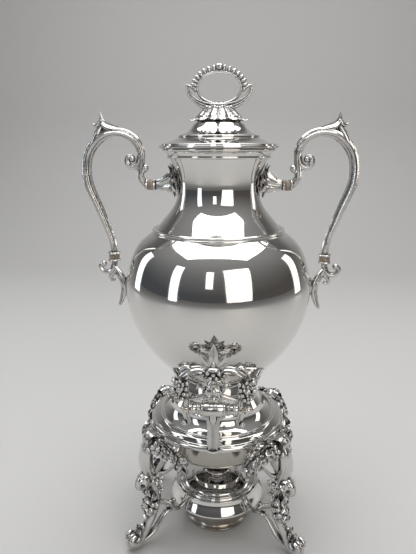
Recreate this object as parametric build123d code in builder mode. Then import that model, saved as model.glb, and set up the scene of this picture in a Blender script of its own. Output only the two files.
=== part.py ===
from build123d import *
from math import cos, hypot, pi, radians, sin
import os

# Antique coffee urn with a hinged lid, a tap with a yoke lever and a spirit lamp.
# Millimetres. Z points up, the tap points to -Y, and the origin is on the table under the urn's axis.

os.makedirs("parts", exist_ok=True)

# Driving dimensions: sheet and fits
sheet = 1.4
seam_gap = 0.12
running_gap = 0.05
rest_gap = 0.1

# Driving dimensions: dish and apron
dish_seat_z = 110.0
dish_radius = 62.5
dish_lip_drop = 3.2
dish_lip_height = 5.4
dish_lip_wall = 1.6
dish_ring_radius = 52.0
dish_ring_rise = 6.2
dish_ring_bead = 1.3
apron_radius = 50.2
apron_drop = 26.5
apron_bead = 1.0

# Driving dimensions: stem under the bulb
stem_foot_radius = 41.0
stem_foot_rise = 18.0
stem_waist_radius = 35.6
stem_height = 19.0

# Driving dimensions: bulb
bulb_floor_radius = 38.8
bulb_radius = 81.5
bulb_height = 141.0
shoulder_radius = 55.6

# Driving dimensions: neck, its band and the mouth rim
neck_radius = 34.8
neck_height = 61.0
neck_top_radius = 41.8
band_proud = 2.0
band_height = 4.4
rim_height = 8.2
rim_top_radius = 46.6
rim_foot_radius = 43.0
mouth_radius = 39.6

# Driving dimensions: lid
lid_radius = 50.6
lid_flange_height = 1.7
lid_outer_step_radius = 48.4
lid_inner_step_radius = 33.7
lid_step_height = 1.4
lid_lower_cove_height = 5.6
lid_upper_cove_height = 9.6
lid_crown_radius = 20.8
lid_gap = 0.15
bezel_clearance = 0.55
bezel_depth = 7.6
bezel_wall = 1.4

# Driving dimensions: lid hinge
hinge_knuckle_radius = 2.4
hinge_pin_radius = 0.9
hinge_width = 20.0
hinge_middle_width = 7.6
hinge_side_gap = 0.2
hinge_head_radius = 1.7
hinge_head_length = 1.2
hinge_rise = 1.1

# Driving dimensions: finial
finial_base_radius = 20.2
finial_base_height = 12.6
finial_top_radius = 9.4
finial_leaf_count = 8
finial_leaf_groove = 2.6
finial_hole_half_width = 17.1
finial_hole_half_height = 11.3
finial_rim = 2.3
finial_thickness = 5.4
finial_tip_half_width = 27.2
finial_crescent_depth = 6.0
finial_bead_radius = 2.15
finial_bead_count = 6
finial_top_bead_radius = 3.3
finial_stud_radius = 2.0
finial_stud_depth = 8.0
finial_nut_size = 4.6
finial_nut_height = 3.2

# Driving dimensions: handles
handle_reach = 114.4
handle_collar_z = 326.8
handle_collar_radius = 5.0
handle_collar_start = 54.7
collar_flange = 1.4
insulator_length = 5.0
insulator_radius = 4.4
handle_top_z = 369.9
handle_foot_x = 93.4
handle_foot_z = 267.3
handle_foot_radius = 5.6
handle_bar_radius = 4.4
handle_pin_radius = 0.8

# Driving dimensions: legs
leg_angle = 53.0
leg_knee_radius = 79.0
leg_ankle_radius = 69.0
leg_toe_radius = 94.0
leg_bar_radius = 6.0
toe_pad_length = 6.4
toe_pad_width = 4.8
toe_pad_height = 2.8
leg_berry_radius = 3.5
leg_pad_angle = 16.0
leg_pad_height = 6.0
bracket_radius = 2.4
lip_clearance = 0.4

# Driving dimensions: spirit lamp
lamp_rest_z = 26.6
lamp_foot_z = 0.8
lamp_foot_radius = 30.0
lamp_bowl_radius = 38.6
lamp_band_foot_radius = 45.4
lamp_band_top_radius = 40.4
lamp_band_height = 14.2
lamp_cover_radius = 38.2
lamp_cover_height = 2.0
lamp_step_radius = 32.0
cap_radius = 23.5
cap_skirt_height = 2.6
cap_height = 7.2
cap_disc_radius = 12.0
wick_radius = 3.2
wick_tube_wall = 0.9
wick_tube_rise = 2.4

# Driving dimensions: tap
tap_rise = 13.8
tap_reach = 84.0
tap_shank_radius = 4.6
tap_boss_radius = 9.6
barrel_radius = 4.7
barrel_half_length = 18.7
barrel_centre_radius = 6.2
barrel_centre_half_length = 10.6
plug_small_radius = 2.7
plug_large_radius = 3.4
spout_drop = 36.0
spout_radius = 5.2
spout_bore_radius = 3.0
lever_arm_x = 20.8
lever_thickness = 3.6
lever_height = 53.6
lever_side_reach = 28.0
lever_bar = 2.1
knob_radius = 2.9

# Heights that follow from the sizes above
stem_foot_z = dish_seat_z + stem_foot_rise
bulb_floor_z = stem_foot_z + stem_height
seam_z = bulb_floor_z + bulb_height
rim_foot_z = seam_z + neck_height
rim_top_z = rim_foot_z + rim_height
lid_foot_z = rim_top_z + lid_gap
lid_flange_z = lid_foot_z + lid_flange_height
lid_lower_cove_z = lid_flange_z + lid_step_height
lid_upper_step_z = lid_lower_cove_z + lid_lower_cove_height
lid_upper_cove_z = lid_upper_step_z + lid_step_height
lid_crown_z = lid_upper_cove_z + lid_upper_cove_height
finial_ring_z = lid_crown_z + finial_base_height
tap_z = bulb_floor_z + tap_rise


def between(low, high, share):
    """Value part of the way from low to high."""
    return low + (high - low) * share


def pushed(points, distance):
    """Outline moved sideways: out from the axis for a positive distance, in for a negative one."""
    moved = []
    for index, (radius, height) in enumerate(points):
        before = points[max(index - 1, 0)]
        after = points[min(index + 1, len(points) - 1)]
        run, rise = after[0] - before[0], after[1] - before[1]
        length = hypot(run, rise)
        moved.append((radius + distance * rise / length, height - distance * run / length))
    return moved


def level_ends(points, low, high):
    """Outline with its two ends brought back to the given heights."""
    return [(points[0][0], low)] + points[1:-1] + [(points[-1][0], high)]


def envelope(outline, gap):
    """Solid turned from an outline and grown by a gap, which castings are cut back from."""
    grown = pushed(outline, gap)
    with BuildPart() as solid:
        with BuildSketch(Plane.XZ):
            with BuildLine():
                edge = Spline(*grown)
                Polyline(edge @ 1, (0, grown[-1][1]), (0, grown[0][1]), edge @ 0)
            make_face()
        revolve(axis=Axis.Z)
    return solid.part


def ribbed_section(radius, ribs, depth, squash):
    """Corner points of a bar's section, with ridges where ribs is above zero."""
    count = ribs * 2 if ribs else 8
    corners = []
    for index in range(count):
        size = radius * (1 - depth * (index % 2)) if ribs else radius
        angle = 2 * pi * (index + 0.5) / count
        corners.append((size * cos(angle), size * squash * sin(angle)))
    return corners


def cast_bar(points, radii, side=(0, 1, 0), ribs=0, depth=0.0, squash=1.0, start=None):
    """Cast scroll: a bar along a smooth line, with its radius given at even steps along it."""
    with BuildPart() as bar:
        with BuildLine(mode=Mode.PRIVATE) as line:
            if start is None:
                path = Spline(*points)
            else:
                path = Spline(*points, tangents=(start, Vector(*points[-1]) - Vector(*points[-2])))
        for index, radius in enumerate(radii):
            share = index / (len(radii) - 1)
            plane = Plane(origin=path @ share, x_dir=side, z_dir=path % share)
            with BuildSketch(plane):
                Polygon(*ribbed_section(radius, ribs, depth, squash), align=None)
        loft(ruled=True)
    return bar.part


def berry(centre, radius):
    """One berry of a cast cluster, as a six-sided bead."""
    low = radius * 0.5
    levels = ((-radius, low), (-low, radius * 0.9), (low, radius * 0.9), (radius, low))
    with BuildPart() as bead:
        for height, size in levels:
            with BuildSketch(Plane(origin=centre).offset(height)):
                RegularPolygon(size, 6)
        loft(ruled=True)
    return bead.part


# Outlines of the spun pieces, as radius and height
bulb_rise = bulb_radius - bulb_floor_radius
bulb_outline = [
    (bulb_floor_radius, bulb_floor_z),
    (bulb_floor_radius + 0.15 * bulb_rise, bulb_floor_z + 0.106 * bulb_height),
    (bulb_floor_radius + 0.44 * bulb_rise, bulb_floor_z + 0.214 * bulb_height),
    (bulb_floor_radius + 0.765 * bulb_rise, bulb_floor_z + 0.362 * bulb_height),
    (bulb_floor_radius + 0.955 * bulb_rise, bulb_floor_z + 0.525 * bulb_height),
    (bulb_radius, bulb_floor_z + 0.645 * bulb_height),
    (between(shoulder_radius, bulb_radius, 0.87), bulb_floor_z + 0.79 * bulb_height),
    (between(shoulder_radius, bulb_radius, 0.54), bulb_floor_z + 0.92 * bulb_height),
    (shoulder_radius, seam_z),
]
bulb_inside = level_ends(pushed(bulb_outline, -sheet), bulb_floor_z + sheet, seam_z)

neck_outline = [
    (shoulder_radius, seam_z),
    (between(neck_radius, shoulder_radius, 0.56), seam_z + 0.184 * neck_height),
    (between(neck_radius, shoulder_radius, 0.18), seam_z + 0.352 * neck_height),
    (neck_radius, seam_z + 0.566 * neck_height),
    (between(neck_radius, neck_top_radius, 0.2), seam_z + 0.787 * neck_height),
    (neck_top_radius, rim_foot_z),
]
neck_inside = level_ends(pushed(neck_outline, -sheet), seam_z, rim_foot_z)

stem_outline = [
    (stem_foot_radius, stem_foot_z),
    (between(stem_waist_radius, stem_foot_radius, 0.28), between(stem_foot_z, bulb_floor_z, 0.34)),
    (stem_waist_radius, between(stem_foot_z, bulb_floor_z, 0.66)),
    (bulb_floor_radius, bulb_floor_z),
]
stem_inside = level_ends(pushed(stem_outline, -sheet), stem_foot_z, bulb_floor_z)

# Spun bulb with its flat floor, made in two halves that are soldered at its widest place
widest_z = bulb_outline[5][1]
with BuildPart() as bulb_spinning:
    with BuildSketch(Plane.XZ):
        with BuildLine():
            outside = Spline(*bulb_outline)
            inside = Spline(*bulb_inside)
            Line(outside @ 1, inside @ 1)
            Polyline(inside @ 0, (0, bulb_floor_z + sheet), (0, bulb_floor_z), outside @ 0)
        make_face()
    revolve(axis=Axis.Z)

# Lower half of the bulb, with the hole for the tap
with BuildPart() as body_shell:
    add(bulb_spinning.part)
    split(bisect_by=Plane.XY.offset(widest_z), keep=Keep.BOTTOM)
    with BuildSketch(Plane.XZ):
        with Locations((0, tap_z)):
            Circle(tap_shank_radius + seam_gap)
    extrude(amount=bulb_radius, mode=Mode.SUBTRACT)

# Upper half of the bulb, up to the neck
with BuildPart() as body_shoulder:
    add(bulb_spinning.part)
    split(bisect_by=Plane.XY.offset(widest_z), keep=Keep.TOP)

# Spun neck, soldered on the bulb at the seam
with BuildPart() as neck_shell:
    with BuildSketch(Plane.XZ):
        with BuildLine():
            outside = Spline(*neck_outline)
            inside = Spline(*neck_inside)
            Line(outside @ 1, inside @ 1)
            Line(outside @ 0, inside @ 0)
        make_face()
    revolve(axis=Axis.Z)

# Stamped band over the seam, cut back from both spun pieces
with BuildPart() as neck_band:
    with BuildSketch(Plane.XZ):
        with Locations((shoulder_radius, seam_z)):
            RectangleRounded(2 * band_proud, band_height, band_proud * 0.9)
    revolve(axis=Axis.Z)
    add(envelope(bulb_outline, seam_gap), mode=Mode.SUBTRACT)
    add(envelope(neck_outline, seam_gap), mode=Mode.SUBTRACT)

# Moulded wire rim round the mouth: a foot bead, a cove and a top bead
rim_bead = rim_height * 0.14
with BuildPart() as mouth_rim:
    with BuildSketch(Plane.XZ):
        with BuildLine():
            Line((mouth_radius, rim_foot_z), (rim_foot_radius, rim_foot_z))
            foot_bead = ThreePointArc(
                (rim_foot_radius, rim_foot_z),
                (rim_foot_radius + rim_bead, rim_foot_z + rim_bead),
                (rim_foot_radius, rim_foot_z + 2 * rim_bead),
            )
            cove = ThreePointArc(
                foot_bead @ 1,
                (between(rim_foot_radius, rim_top_radius, 0.3), between(rim_foot_z, rim_top_z, 0.55)),
                (rim_top_radius, rim_top_z - 2 * rim_bead),
            )
            top_bead = ThreePointArc(
                cove @ 1,
                (rim_top_radius + rim_bead, rim_top_z - rim_bead),
                (rim_top_radius, rim_top_z),
            )
            Polyline(top_bead @ 1, (mouth_radius, rim_top_z), (mouth_radius, rim_foot_z))
        make_face()
    revolve(axis=Axis.Z)

# Flared stem between the bulb and the dish, open inside for the heat of the lamp
with BuildPart() as body_stem:
    with BuildSketch(Plane.XZ):
        with BuildLine():
            outside = Spline(*stem_outline)
            inside = Spline(*stem_inside)
            Line(outside @ 1, inside @ 1)
            Line(outside @ 0, inside @ 0)
        make_face()
    revolve(axis=Axis.Z)

# Spun dish: a cove up to the stem, a raised ring, a stepped border and a rolled lip
ring_z = dish_seat_z + dish_ring_rise
lip_foot_z = dish_seat_z - dish_lip_drop
lip_top_z = lip_foot_z + dish_lip_height
border_radius = between(dish_ring_radius, dish_radius, 0.62)
border_z = lip_top_z + 0.9
stem_bore = stem_inside[0][0]
with BuildPart() as base_dish:
    with BuildSketch(Plane.XZ):
        with BuildLine():
            lip_round = dish_lip_height / 2
            Line((stem_bore, stem_foot_z), (stem_foot_radius + 0.8, stem_foot_z))
            top_cove = ThreePointArc(
                (stem_foot_radius + 0.8, stem_foot_z),
                (between(stem_foot_radius, dish_ring_radius, 0.42), between(ring_z, stem_foot_z, 0.36)),
                (dish_ring_radius - dish_ring_bead, ring_z),
            )
            ring_bead = ThreePointArc(
                top_cove @ 1,
                (dish_ring_radius, ring_z + dish_ring_bead * 0.8),
                (dish_ring_radius + dish_ring_bead, ring_z - 0.4),
            )
            border = Polyline(
                ring_bead @ 1,
                (dish_ring_radius + dish_ring_bead + 0.3, border_z + 0.6),
                (border_radius, border_z),
                (border_radius + 0.5, lip_top_z),
                (dish_radius - 1.2, lip_top_z),
            )
            lip = ThreePointArc(
                border @ 1,
                (dish_radius, lip_foot_z + lip_round),
                (dish_radius - 1.2, lip_foot_z),
            )
            Polyline(
                lip @ 1,
                (dish_radius - dish_lip_wall, lip_foot_z),
                (dish_radius - dish_lip_wall, dish_seat_z),
                (apron_radius - 4 * sheet, dish_seat_z),
                (apron_radius - 4 * sheet, between(dish_seat_z, ring_z, 0.35)),
                (stem_bore, stem_foot_z - 2 * sheet),
                (stem_bore, stem_foot_z),
            )
        make_face()
    revolve(axis=Axis.Z)

# Straight apron under the dish, which keeps draughts off the flame
apron_foot_z = dish_seat_z - apron_drop
with BuildPart() as base_apron:
    with BuildSketch(Plane.XZ):
        with Locations((apron_radius - sheet, apron_foot_z)):
            Rectangle(sheet, apron_drop, align=(Align.MIN, Align.MIN))
        with Locations((apron_radius - sheet / 2, apron_foot_z + apron_bead)):
            Circle(apron_bead)
    revolve(axis=Axis.Z)

# Lid: a flange, two stepped coves and a flat crown under the finial
with BuildPart() as lid_shell:
    with BuildSketch(Plane.XZ):
        with BuildLine():
            flange = Polyline(
                (lid_radius - sheet, lid_foot_z),
                (lid_radius - 0.4, lid_foot_z),
                (lid_radius, lid_foot_z + 0.4),
                (lid_radius, lid_flange_z - 0.5),
                (lid_radius - 0.5, lid_flange_z),
                (lid_outer_step_radius, lid_flange_z),
                (lid_outer_step_radius, lid_lower_cove_z),
            )
            lower_cove = ThreePointArc(
                flange @ 1,
                (
                    between(lid_outer_step_radius, lid_inner_step_radius, 0.56),
                    between(lid_lower_cove_z, lid_upper_step_z, 0.42),
                ),
                (lid_inner_step_radius, lid_upper_step_z),
            )
            step = Line(lower_cove @ 1, (lid_inner_step_radius, lid_upper_cove_z))
            upper_cove = ThreePointArc(
                step @ 1,
                (
                    between(lid_inner_step_radius, lid_crown_radius, 0.56),
                    between(lid_upper_cove_z, lid_crown_z, 0.4),
                ),
                (lid_crown_radius, lid_crown_z),
            )
            stud_hole = finial_stud_radius + running_gap
            Polyline(
                upper_cove @ 1,
                (stud_hole, lid_crown_z),
                (stud_hole, lid_crown_z - sheet),
                (lid_crown_radius - 2 * sheet, lid_crown_z - sheet),
                (lid_inner_step_radius - 2 * sheet, lid_upper_step_z - sheet / 2),
                (mouth_radius - bezel_clearance - bezel_wall, lid_flange_z + sheet),
                (mouth_radius - bezel_clearance - bezel_wall, lid_flange_z - 0.3),
                (lid_radius - sheet, lid_flange_z - 0.3),
                flange @ 0,
            )
        make_face()
    revolve(axis=Axis.Z)

# Bezel: the skirt ring that centres the lid in the mouth
bezel_radius = mouth_radius - bezel_clearance
with BuildPart() as lid_bezel:
    with BuildSketch(Plane.XZ):
        with BuildLine():
            Polyline(
                (bezel_radius - bezel_wall, rim_top_z - bezel_depth),
                (bezel_radius, rim_top_z - bezel_depth),
                (bezel_radius, lid_foot_z + 0.1),
                (rim_top_radius - 1, lid_foot_z + 0.1),
                (rim_top_radius - 1, lid_flange_z - 0.3),
                (bezel_radius - bezel_wall, lid_flange_z - 0.3),
                close=True,
            )
        make_face()
    revolve(axis=Axis.Z)

# Lid hinge at the back: two outer knuckles on the rim, one middle knuckle on the lid
hinge_y = lid_radius + hinge_knuckle_radius + 0.5
hinge_z = lid_foot_z + hinge_rise
leaf_foot_z = between(rim_foot_z, rim_top_z, 0.25)
with BuildPart() as rim_hinge_leaf:
    with BuildSketch(Plane.YZ) as knuckle_side:
        with Locations((hinge_y, hinge_z)):
            Circle(hinge_knuckle_radius)
        with BuildLine():
            Polyline(
                (rim_foot_radius, leaf_foot_z),
                (hinge_y, hinge_z - hinge_knuckle_radius),
                (hinge_y + hinge_knuckle_radius, hinge_z),
                (hinge_y, hinge_z),
                (hinge_y - hinge_knuckle_radius, hinge_z),
                (hinge_y - hinge_knuckle_radius, lid_foot_z - 3 * lid_gap),
                (rim_foot_radius, lid_foot_z - 3 * lid_gap),
                close=True,
            )
        make_face()
    extrude(amount=hinge_width / 2, both=True)
    with BuildSketch(Plane.YZ):
        with Locations((hinge_y, hinge_z)):
            Circle(hinge_knuckle_radius + 4 * hinge_side_gap)
    extrude(amount=hinge_middle_width / 2 + hinge_side_gap, both=True, mode=Mode.SUBTRACT)
    with BuildSketch(Plane.YZ):
        with Locations((hinge_y, hinge_z)):
            Circle(hinge_pin_radius + running_gap)
    extrude(amount=hinge_width, both=True, mode=Mode.SUBTRACT)
    with BuildSketch(Plane.XY.offset(rim_foot_z - rim_height)):
        Circle(rim_top_radius + rim_bead + seam_gap)
    extrude(amount=3 * rim_height, mode=Mode.SUBTRACT)

with BuildPart() as hinge_pin:
    with BuildSketch(Plane.YZ):
        with Locations((hinge_y, hinge_z)):
            Circle(hinge_pin_radius)
    extrude(amount=hinge_width / 2 + 0.1, both=True)
    for side in (1, -1):
        with BuildSketch(Plane.YZ.offset(side * (hinge_width / 2 + 0.1))):
            with Locations((hinge_y, hinge_z)):
                Circle(hinge_head_radius)
        extrude(amount=side * hinge_head_length)

leaf_front_y = lid_outer_step_radius - 5
leaf_top_z = between(lid_lower_cove_z, lid_upper_step_z, 0.55)
with BuildPart() as lid_hinge_leaf:
    with BuildSketch(Plane.YZ):
        with Locations((hinge_y, hinge_z)):
            Circle(hinge_knuckle_radius)
        with BuildLine():
            Polyline(
                (hinge_y, hinge_z),
                (hinge_y, hinge_z + hinge_knuckle_radius),
                (lid_outer_step_radius, leaf_top_z),
                (leaf_front_y, leaf_top_z),
                (leaf_front_y, hinge_z),
                close=True,
            )
        make_face()
    extrude(amount=hinge_middle_width / 2, both=True)
    with BuildSketch(Plane.YZ):
        with Locations((hinge_y, hinge_z)):
            Circle(hinge_pin_radius + running_gap)
    extrude(amount=hinge_width, both=True, mode=Mode.SUBTRACT)
    with BuildSketch(Plane.XZ):
        with BuildLine():
            grown_flange = lid_radius + seam_gap
            grown_step = lid_outer_step_radius + seam_gap
            path = Polyline(
                (0, lid_foot_z - 1),
                (grown_flange, lid_foot_z - 1),
                (grown_flange, lid_flange_z + seam_gap),
                (grown_step, lid_flange_z + seam_gap),
                (grown_step, lid_lower_cove_z + seam_gap),
            )
            cove = ThreePointArc(
                path @ 1,
                (
                    between(lid_outer_step_radius, lid_inner_step_radius, 0.56),
                    between(lid_lower_cove_z, lid_upper_step_z, 0.42) + seam_gap,
                ),
                (lid_inner_step_radius, lid_upper_step_z + seam_gap),
            )
            Polyline(cove @ 1, (0, lid_upper_step_z + seam_gap), (0, lid_foot_z - 1))
        make_face()
    revolve(axis=Axis.Z, mode=Mode.SUBTRACT)

# Leafy cone under the finial, with a blind hole for the stud
with BuildPart() as finial_base:
    with BuildSketch(Plane.XZ):
        with BuildLine():
            side = Spline(
                (finial_base_radius, lid_crown_z),
                (finial_base_radius - 0.8, lid_crown_z + 1.8),
                (between(finial_top_radius, finial_base_radius, 0.42), lid_crown_z + 0.42 * finial_base_height),
                (finial_top_radius, finial_ring_z),
            )
            Polyline(side @ 1, (0, finial_ring_z), (0, lid_crown_z), side @ 0)
        make_face()
    revolve(axis=Axis.Z)
    groove_radius = between(finial_top_radius, finial_base_radius, 0.72)
    with PolarLocations(groove_radius + 3.4, finial_leaf_count, start_angle=180 / finial_leaf_count):
        Cone(
            finial_leaf_groove * 1.9,
            finial_leaf_groove * 0.5,
            2 * finial_base_height,
            rotation=(0, -28, 0),
            mode=Mode.SUBTRACT,
        )
    with Locations((0, 0, finial_base_height * 0.5 + lid_crown_z)):
        Cylinder(finial_top_radius * 0.96, finial_base_height)
    with Locations((0, 0, lid_crown_z)):
        Cylinder(
            finial_stud_radius + running_gap,
            finial_stud_depth,
            align=(Align.CENTER, Align.CENTER, Align.MIN),
            mode=Mode.SUBTRACT,
        )

# Openwork ring: a plain oval rim, a fluted crescent below and a row of beads above
oval_z = finial_ring_z + finial_crescent_depth * 0.7 + finial_hole_half_height
half_thickness = finial_thickness / 2
with BuildPart() as finial_ring:
    with BuildSketch(Plane.XZ):
        with Locations((0, oval_z)):
            Ellipse(finial_hole_half_width + finial_rim, finial_hole_half_height + finial_rim)
        with Locations((0, oval_z)):
            Ellipse(finial_hole_half_width, finial_hole_half_height, mode=Mode.SUBTRACT)
    extrude(amount=half_thickness * 0.8, both=True)
    with BuildSketch(Plane.XZ):
        with BuildLine():
            under = ThreePointArc(
                (-finial_tip_half_width, oval_z + 1.5),
                (0, finial_ring_z - 1.4),
                (finial_tip_half_width, oval_z + 1.5),
            )
            Polyline(
                under @ 1,
                (finial_hole_half_width + 0.5, oval_z + 1.5),
                (-finial_hole_half_width - 0.5, oval_z + 1.5),
                under @ 0,
            )
        make_face()
        with Locations((0, oval_z)):
            Ellipse(finial_hole_half_width, finial_hole_half_height, mode=Mode.SUBTRACT)
    extrude(amount=half_thickness, both=True)
    bead_path_width = finial_hole_half_width + finial_rim + finial_bead_radius
    bead_path_height = finial_hole_half_height + finial_rim + finial_bead_radius
    for index in range(2 * finial_bead_count + 1):
        angle = pi * (0.08 + 0.84 * index / (2 * finial_bead_count))
        if index == finial_bead_count:
            continue
        with BuildSketch(Plane.XZ):
            with Locations((bead_path_width * cos(angle), oval_z + bead_path_height * sin(angle))):
                RegularPolygon(finial_bead_radius * 1.12, 8)
        extrude(amount=half_thickness * 0.7, both=True)
    with BuildSketch(Plane.XZ):
        with Locations((0, oval_z + bead_path_height)):
            Circle(finial_top_bead_radius)
    extrude(amount=half_thickness, both=True)
    with BuildSketch(Plane.XY.offset(finial_ring_z)):
        Rectangle(4 * finial_tip_half_width, 4 * finial_thickness)
    extrude(amount=-finial_base_height, mode=Mode.SUBTRACT)

# Stud and nut that hold the finial on the lid
stud_foot_z = lid_crown_z - sheet - finial_nut_height - 1.5
with BuildPart() as finial_stud:
    with BuildSketch(Plane.XY.offset(stud_foot_z)):
        Circle(finial_stud_radius)
    extrude(amount=lid_crown_z + finial_stud_depth - stud_foot_z)

with BuildPart() as finial_nut:
    with BuildSketch(Plane.XY.offset(lid_crown_z - sheet - finial_nut_height)):
        RegularPolygon(finial_nut_size, 6)
        Circle(finial_stud_radius + running_gap, mode=Mode.SUBTRACT)
    extrude(amount=finial_nut_height)

# Handle stations, on the right side of the urn in the XZ plane
flange_end = handle_collar_start + collar_flange
insulator_end = flange_end + insulator_length
grip_start = insulator_end + collar_flange
foot_flange_z = handle_foot_z - collar_flange
foot_insulator_z = foot_flange_z - insulator_length
foot_mount_z = foot_insulator_z - collar_flange


def point(x, z):
    """Point in the plane of the handles."""
    return (x, 0, z)


def collar_x(start, length, radius):
    """Round collar along X on the handle's upper line."""
    with BuildPart() as collar:
        with BuildSketch(Plane.YZ.offset(start)):
            with Locations((0, handle_collar_z)):
                Circle(radius)
        extrude(amount=length)
    return collar.part


def collar_z(start, length, radius):
    """Round collar along Z on the handle's lower line."""
    with BuildPart() as collar:
        with BuildSketch(Plane.XY.offset(start)):
            with Locations((handle_foot_x, 0)):
                Circle(radius)
        extrude(amount=length)
    return collar.part


# Upper mount: a leaf spread on the neck, drawn out to a short arm with a flange
neck_grown = envelope(neck_outline, seam_gap)
bulb_grown = envelope(bulb_outline, seam_gap)
leaf_root = neck_radius - 1
with BuildPart() as upper_mount:
    leaf_sections = (
        (leaf_root, 8.4, 9.8, handle_collar_z + 4.4),
        (leaf_root + 4.2, 6.2, 8.0, handle_collar_z + 3.2),
        (leaf_root + 8.4, 3.9, 4.6, handle_collar_z + 0.8),
        (leaf_root + 13.0, 3.0, 3.1, handle_collar_z - 0.4),
        (handle_collar_start, 3.4, 3.4, handle_collar_z),
    )
    for x, half_width, half_height, z in leaf_sections:
        with BuildSketch(Plane.YZ.offset(x)):
            with Locations((0, z)):
                Ellipse(half_width, half_height)
    loft()
    add(collar_x(handle_collar_start, collar_flange, handle_collar_radius))
    add(
        cast_bar(
            [
                point(leaf_root + 4, handle_collar_z + 7),
                point(leaf_root + 6.6, handle_collar_z + 11),
                point(leaf_root + 10.4, handle_collar_z + 14),
            ],
            [3.0, 2.2, 0.7],
        )
    )
    add(neck_grown, mode=Mode.SUBTRACT)

# Insulators: discs that keep the heat of the urn from the grip, with their cross pins
upper_pin_x = flange_end + insulator_length / 2
foot_pin_z = foot_insulator_z + insulator_length / 2
with BuildPart() as upper_insulator:
    add(collar_x(flange_end, insulator_length, insulator_radius))
    with BuildSketch(Plane.XZ):
        with Locations((upper_pin_x, handle_collar_z)):
            Circle(handle_pin_radius + running_gap)
    extrude(amount=2 * insulator_radius, both=True, mode=Mode.SUBTRACT)

with BuildPart() as lower_insulator:
    add(collar_z(foot_insulator_z, insulator_length, insulator_radius))
    with BuildSketch(Plane.XZ):
        with Locations((handle_foot_x, foot_pin_z)):
            Circle(handle_pin_radius + running_gap)
    extrude(amount=2 * insulator_radius, both=True, mode=Mode.SUBTRACT)

with BuildPart() as insulator_pins:
    with BuildSketch(Plane.XZ):
        with Locations((upper_pin_x, handle_collar_z), (handle_foot_x, foot_pin_z)):
            Circle(handle_pin_radius)
    extrude(amount=insulator_radius + 0.5, both=True)

# Grip: a ribbed loop with an elbow, an inner curl, a bead and a thumb leaf
loop_reach = handle_reach - grip_start
loop_height = handle_top_z - handle_collar_z
loop_drop = handle_collar_z - handle_foot_z
grip_points = [
    point(grip_start, handle_collar_z),
    point(grip_start + 3.8, handle_collar_z + 0.11 * loop_height),
    point(grip_start + 4.2, handle_collar_z + 0.4 * loop_height),
    point(grip_start + 4.8, handle_collar_z + 0.71 * loop_height),
    point(grip_start + 0.21 * loop_reach, handle_collar_z + 0.9 * loop_height),
    point(grip_start + 0.41 * loop_reach, handle_top_z),
    point(grip_start + 0.65 * loop_reach, handle_collar_z + 0.97 * loop_height),
    point(grip_start + 0.83 * loop_reach, handle_collar_z + 0.81 * loop_height),
    point(grip_start + 0.96 * loop_reach, handle_collar_z + 0.57 * loop_height),
    point(handle_reach, handle_collar_z + 0.3 * loop_height),
    point(between(handle_foot_x, handle_reach, 0.94), handle_collar_z + 0.03 * loop_height),
    point(between(handle_foot_x, handle_reach, 0.7), handle_collar_z - 0.2 * loop_drop),
    point(between(handle_foot_x, handle_reach, 0.42), handle_collar_z - 0.45 * loop_drop),
    point(between(handle_foot_x, handle_reach, 0.19), handle_collar_z - 0.67 * loop_drop),
    point(between(handle_foot_x, handle_reach, 0.03), handle_collar_z - 0.88 * loop_drop),
    point(handle_foot_x, handle_foot_z),
]
grip_radii = [0.72, 0.66, 0.74, 0.86, 0.9, 0.9, 0.92, 0.96, 1, 1, 1, 1, 1, 1, 1, 1, 0.98, 0.94, 0.9]
grip_radii += [0.84, 0.8, 0.76, 0.72, 0.7, 0.68, 0.68, 0.68]
with BuildPart() as grip:
    castings = [
        collar_x(insulator_end, collar_flange, handle_collar_radius),
        collar_z(foot_flange_z, collar_flange, handle_foot_radius),
    ]
    castings.append(
        cast_bar(
            grip_points,
            [share * handle_bar_radius for share in grip_radii],
            ribs=6,
            depth=0.16,
            start=(1, 0, 0),
        )
    )
    curl_x, curl_z = grip_points[2][0], grip_points[2][2]
    castings.append(
        cast_bar(
            [
                point(curl_x + 0.5, curl_z + 3),
                point(curl_x + 4.6, curl_z - 1.2),
                point(curl_x + 9.0, curl_z + 1.4),
                point(curl_x + 8.6, curl_z + 6.2),
                point(curl_x + 5.6, curl_z + 6.0),
            ],
            [2.6, 2.3, 2.1, 1.9, 1.6],
        )
    )
    castings.append(berry(point(curl_x - 4.2, curl_z - 4.0), 3.0))
    thumb_x, thumb_z = grip_points[6][0], grip_points[6][2]
    castings.append(
        cast_bar(
            [
                point(thumb_x - 7, thumb_z + 1.2),
                point(thumb_x - 0.5, thumb_z + 3.6),
                point(thumb_x + 3.6, thumb_z + 12.2),
            ],
            [2.9, 2.6, 0.5],
        )
    )
    castings.append(
        cast_bar(
            [
                point(thumb_x + 8, thumb_z - 5),
                point(thumb_x + 6.8, thumb_z - 0.4),
                point(thumb_x + 7.4, thumb_z + 5.2),
            ],
            [3.0, 2.4, 0.6],
        )
    )
    add(castings)

# Lower mount: a flange, an outward curl and a scroll that stands on the bulb
def mount_pad():
    """Oval pad behind the lower scroll, which sits on the widest part of the bulb."""
    with BuildPart() as pad:
        for x, half_width, half_height in ((bulb_radius - 2, 4.6, 9.6), (bulb_radius + 2.6, 3.5, 8.4)):
            with BuildSketch(Plane.YZ.offset(x)):
                with Locations((0, widest_z)):
                    Ellipse(half_width, half_height)
        loft()
    return pad.part


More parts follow.
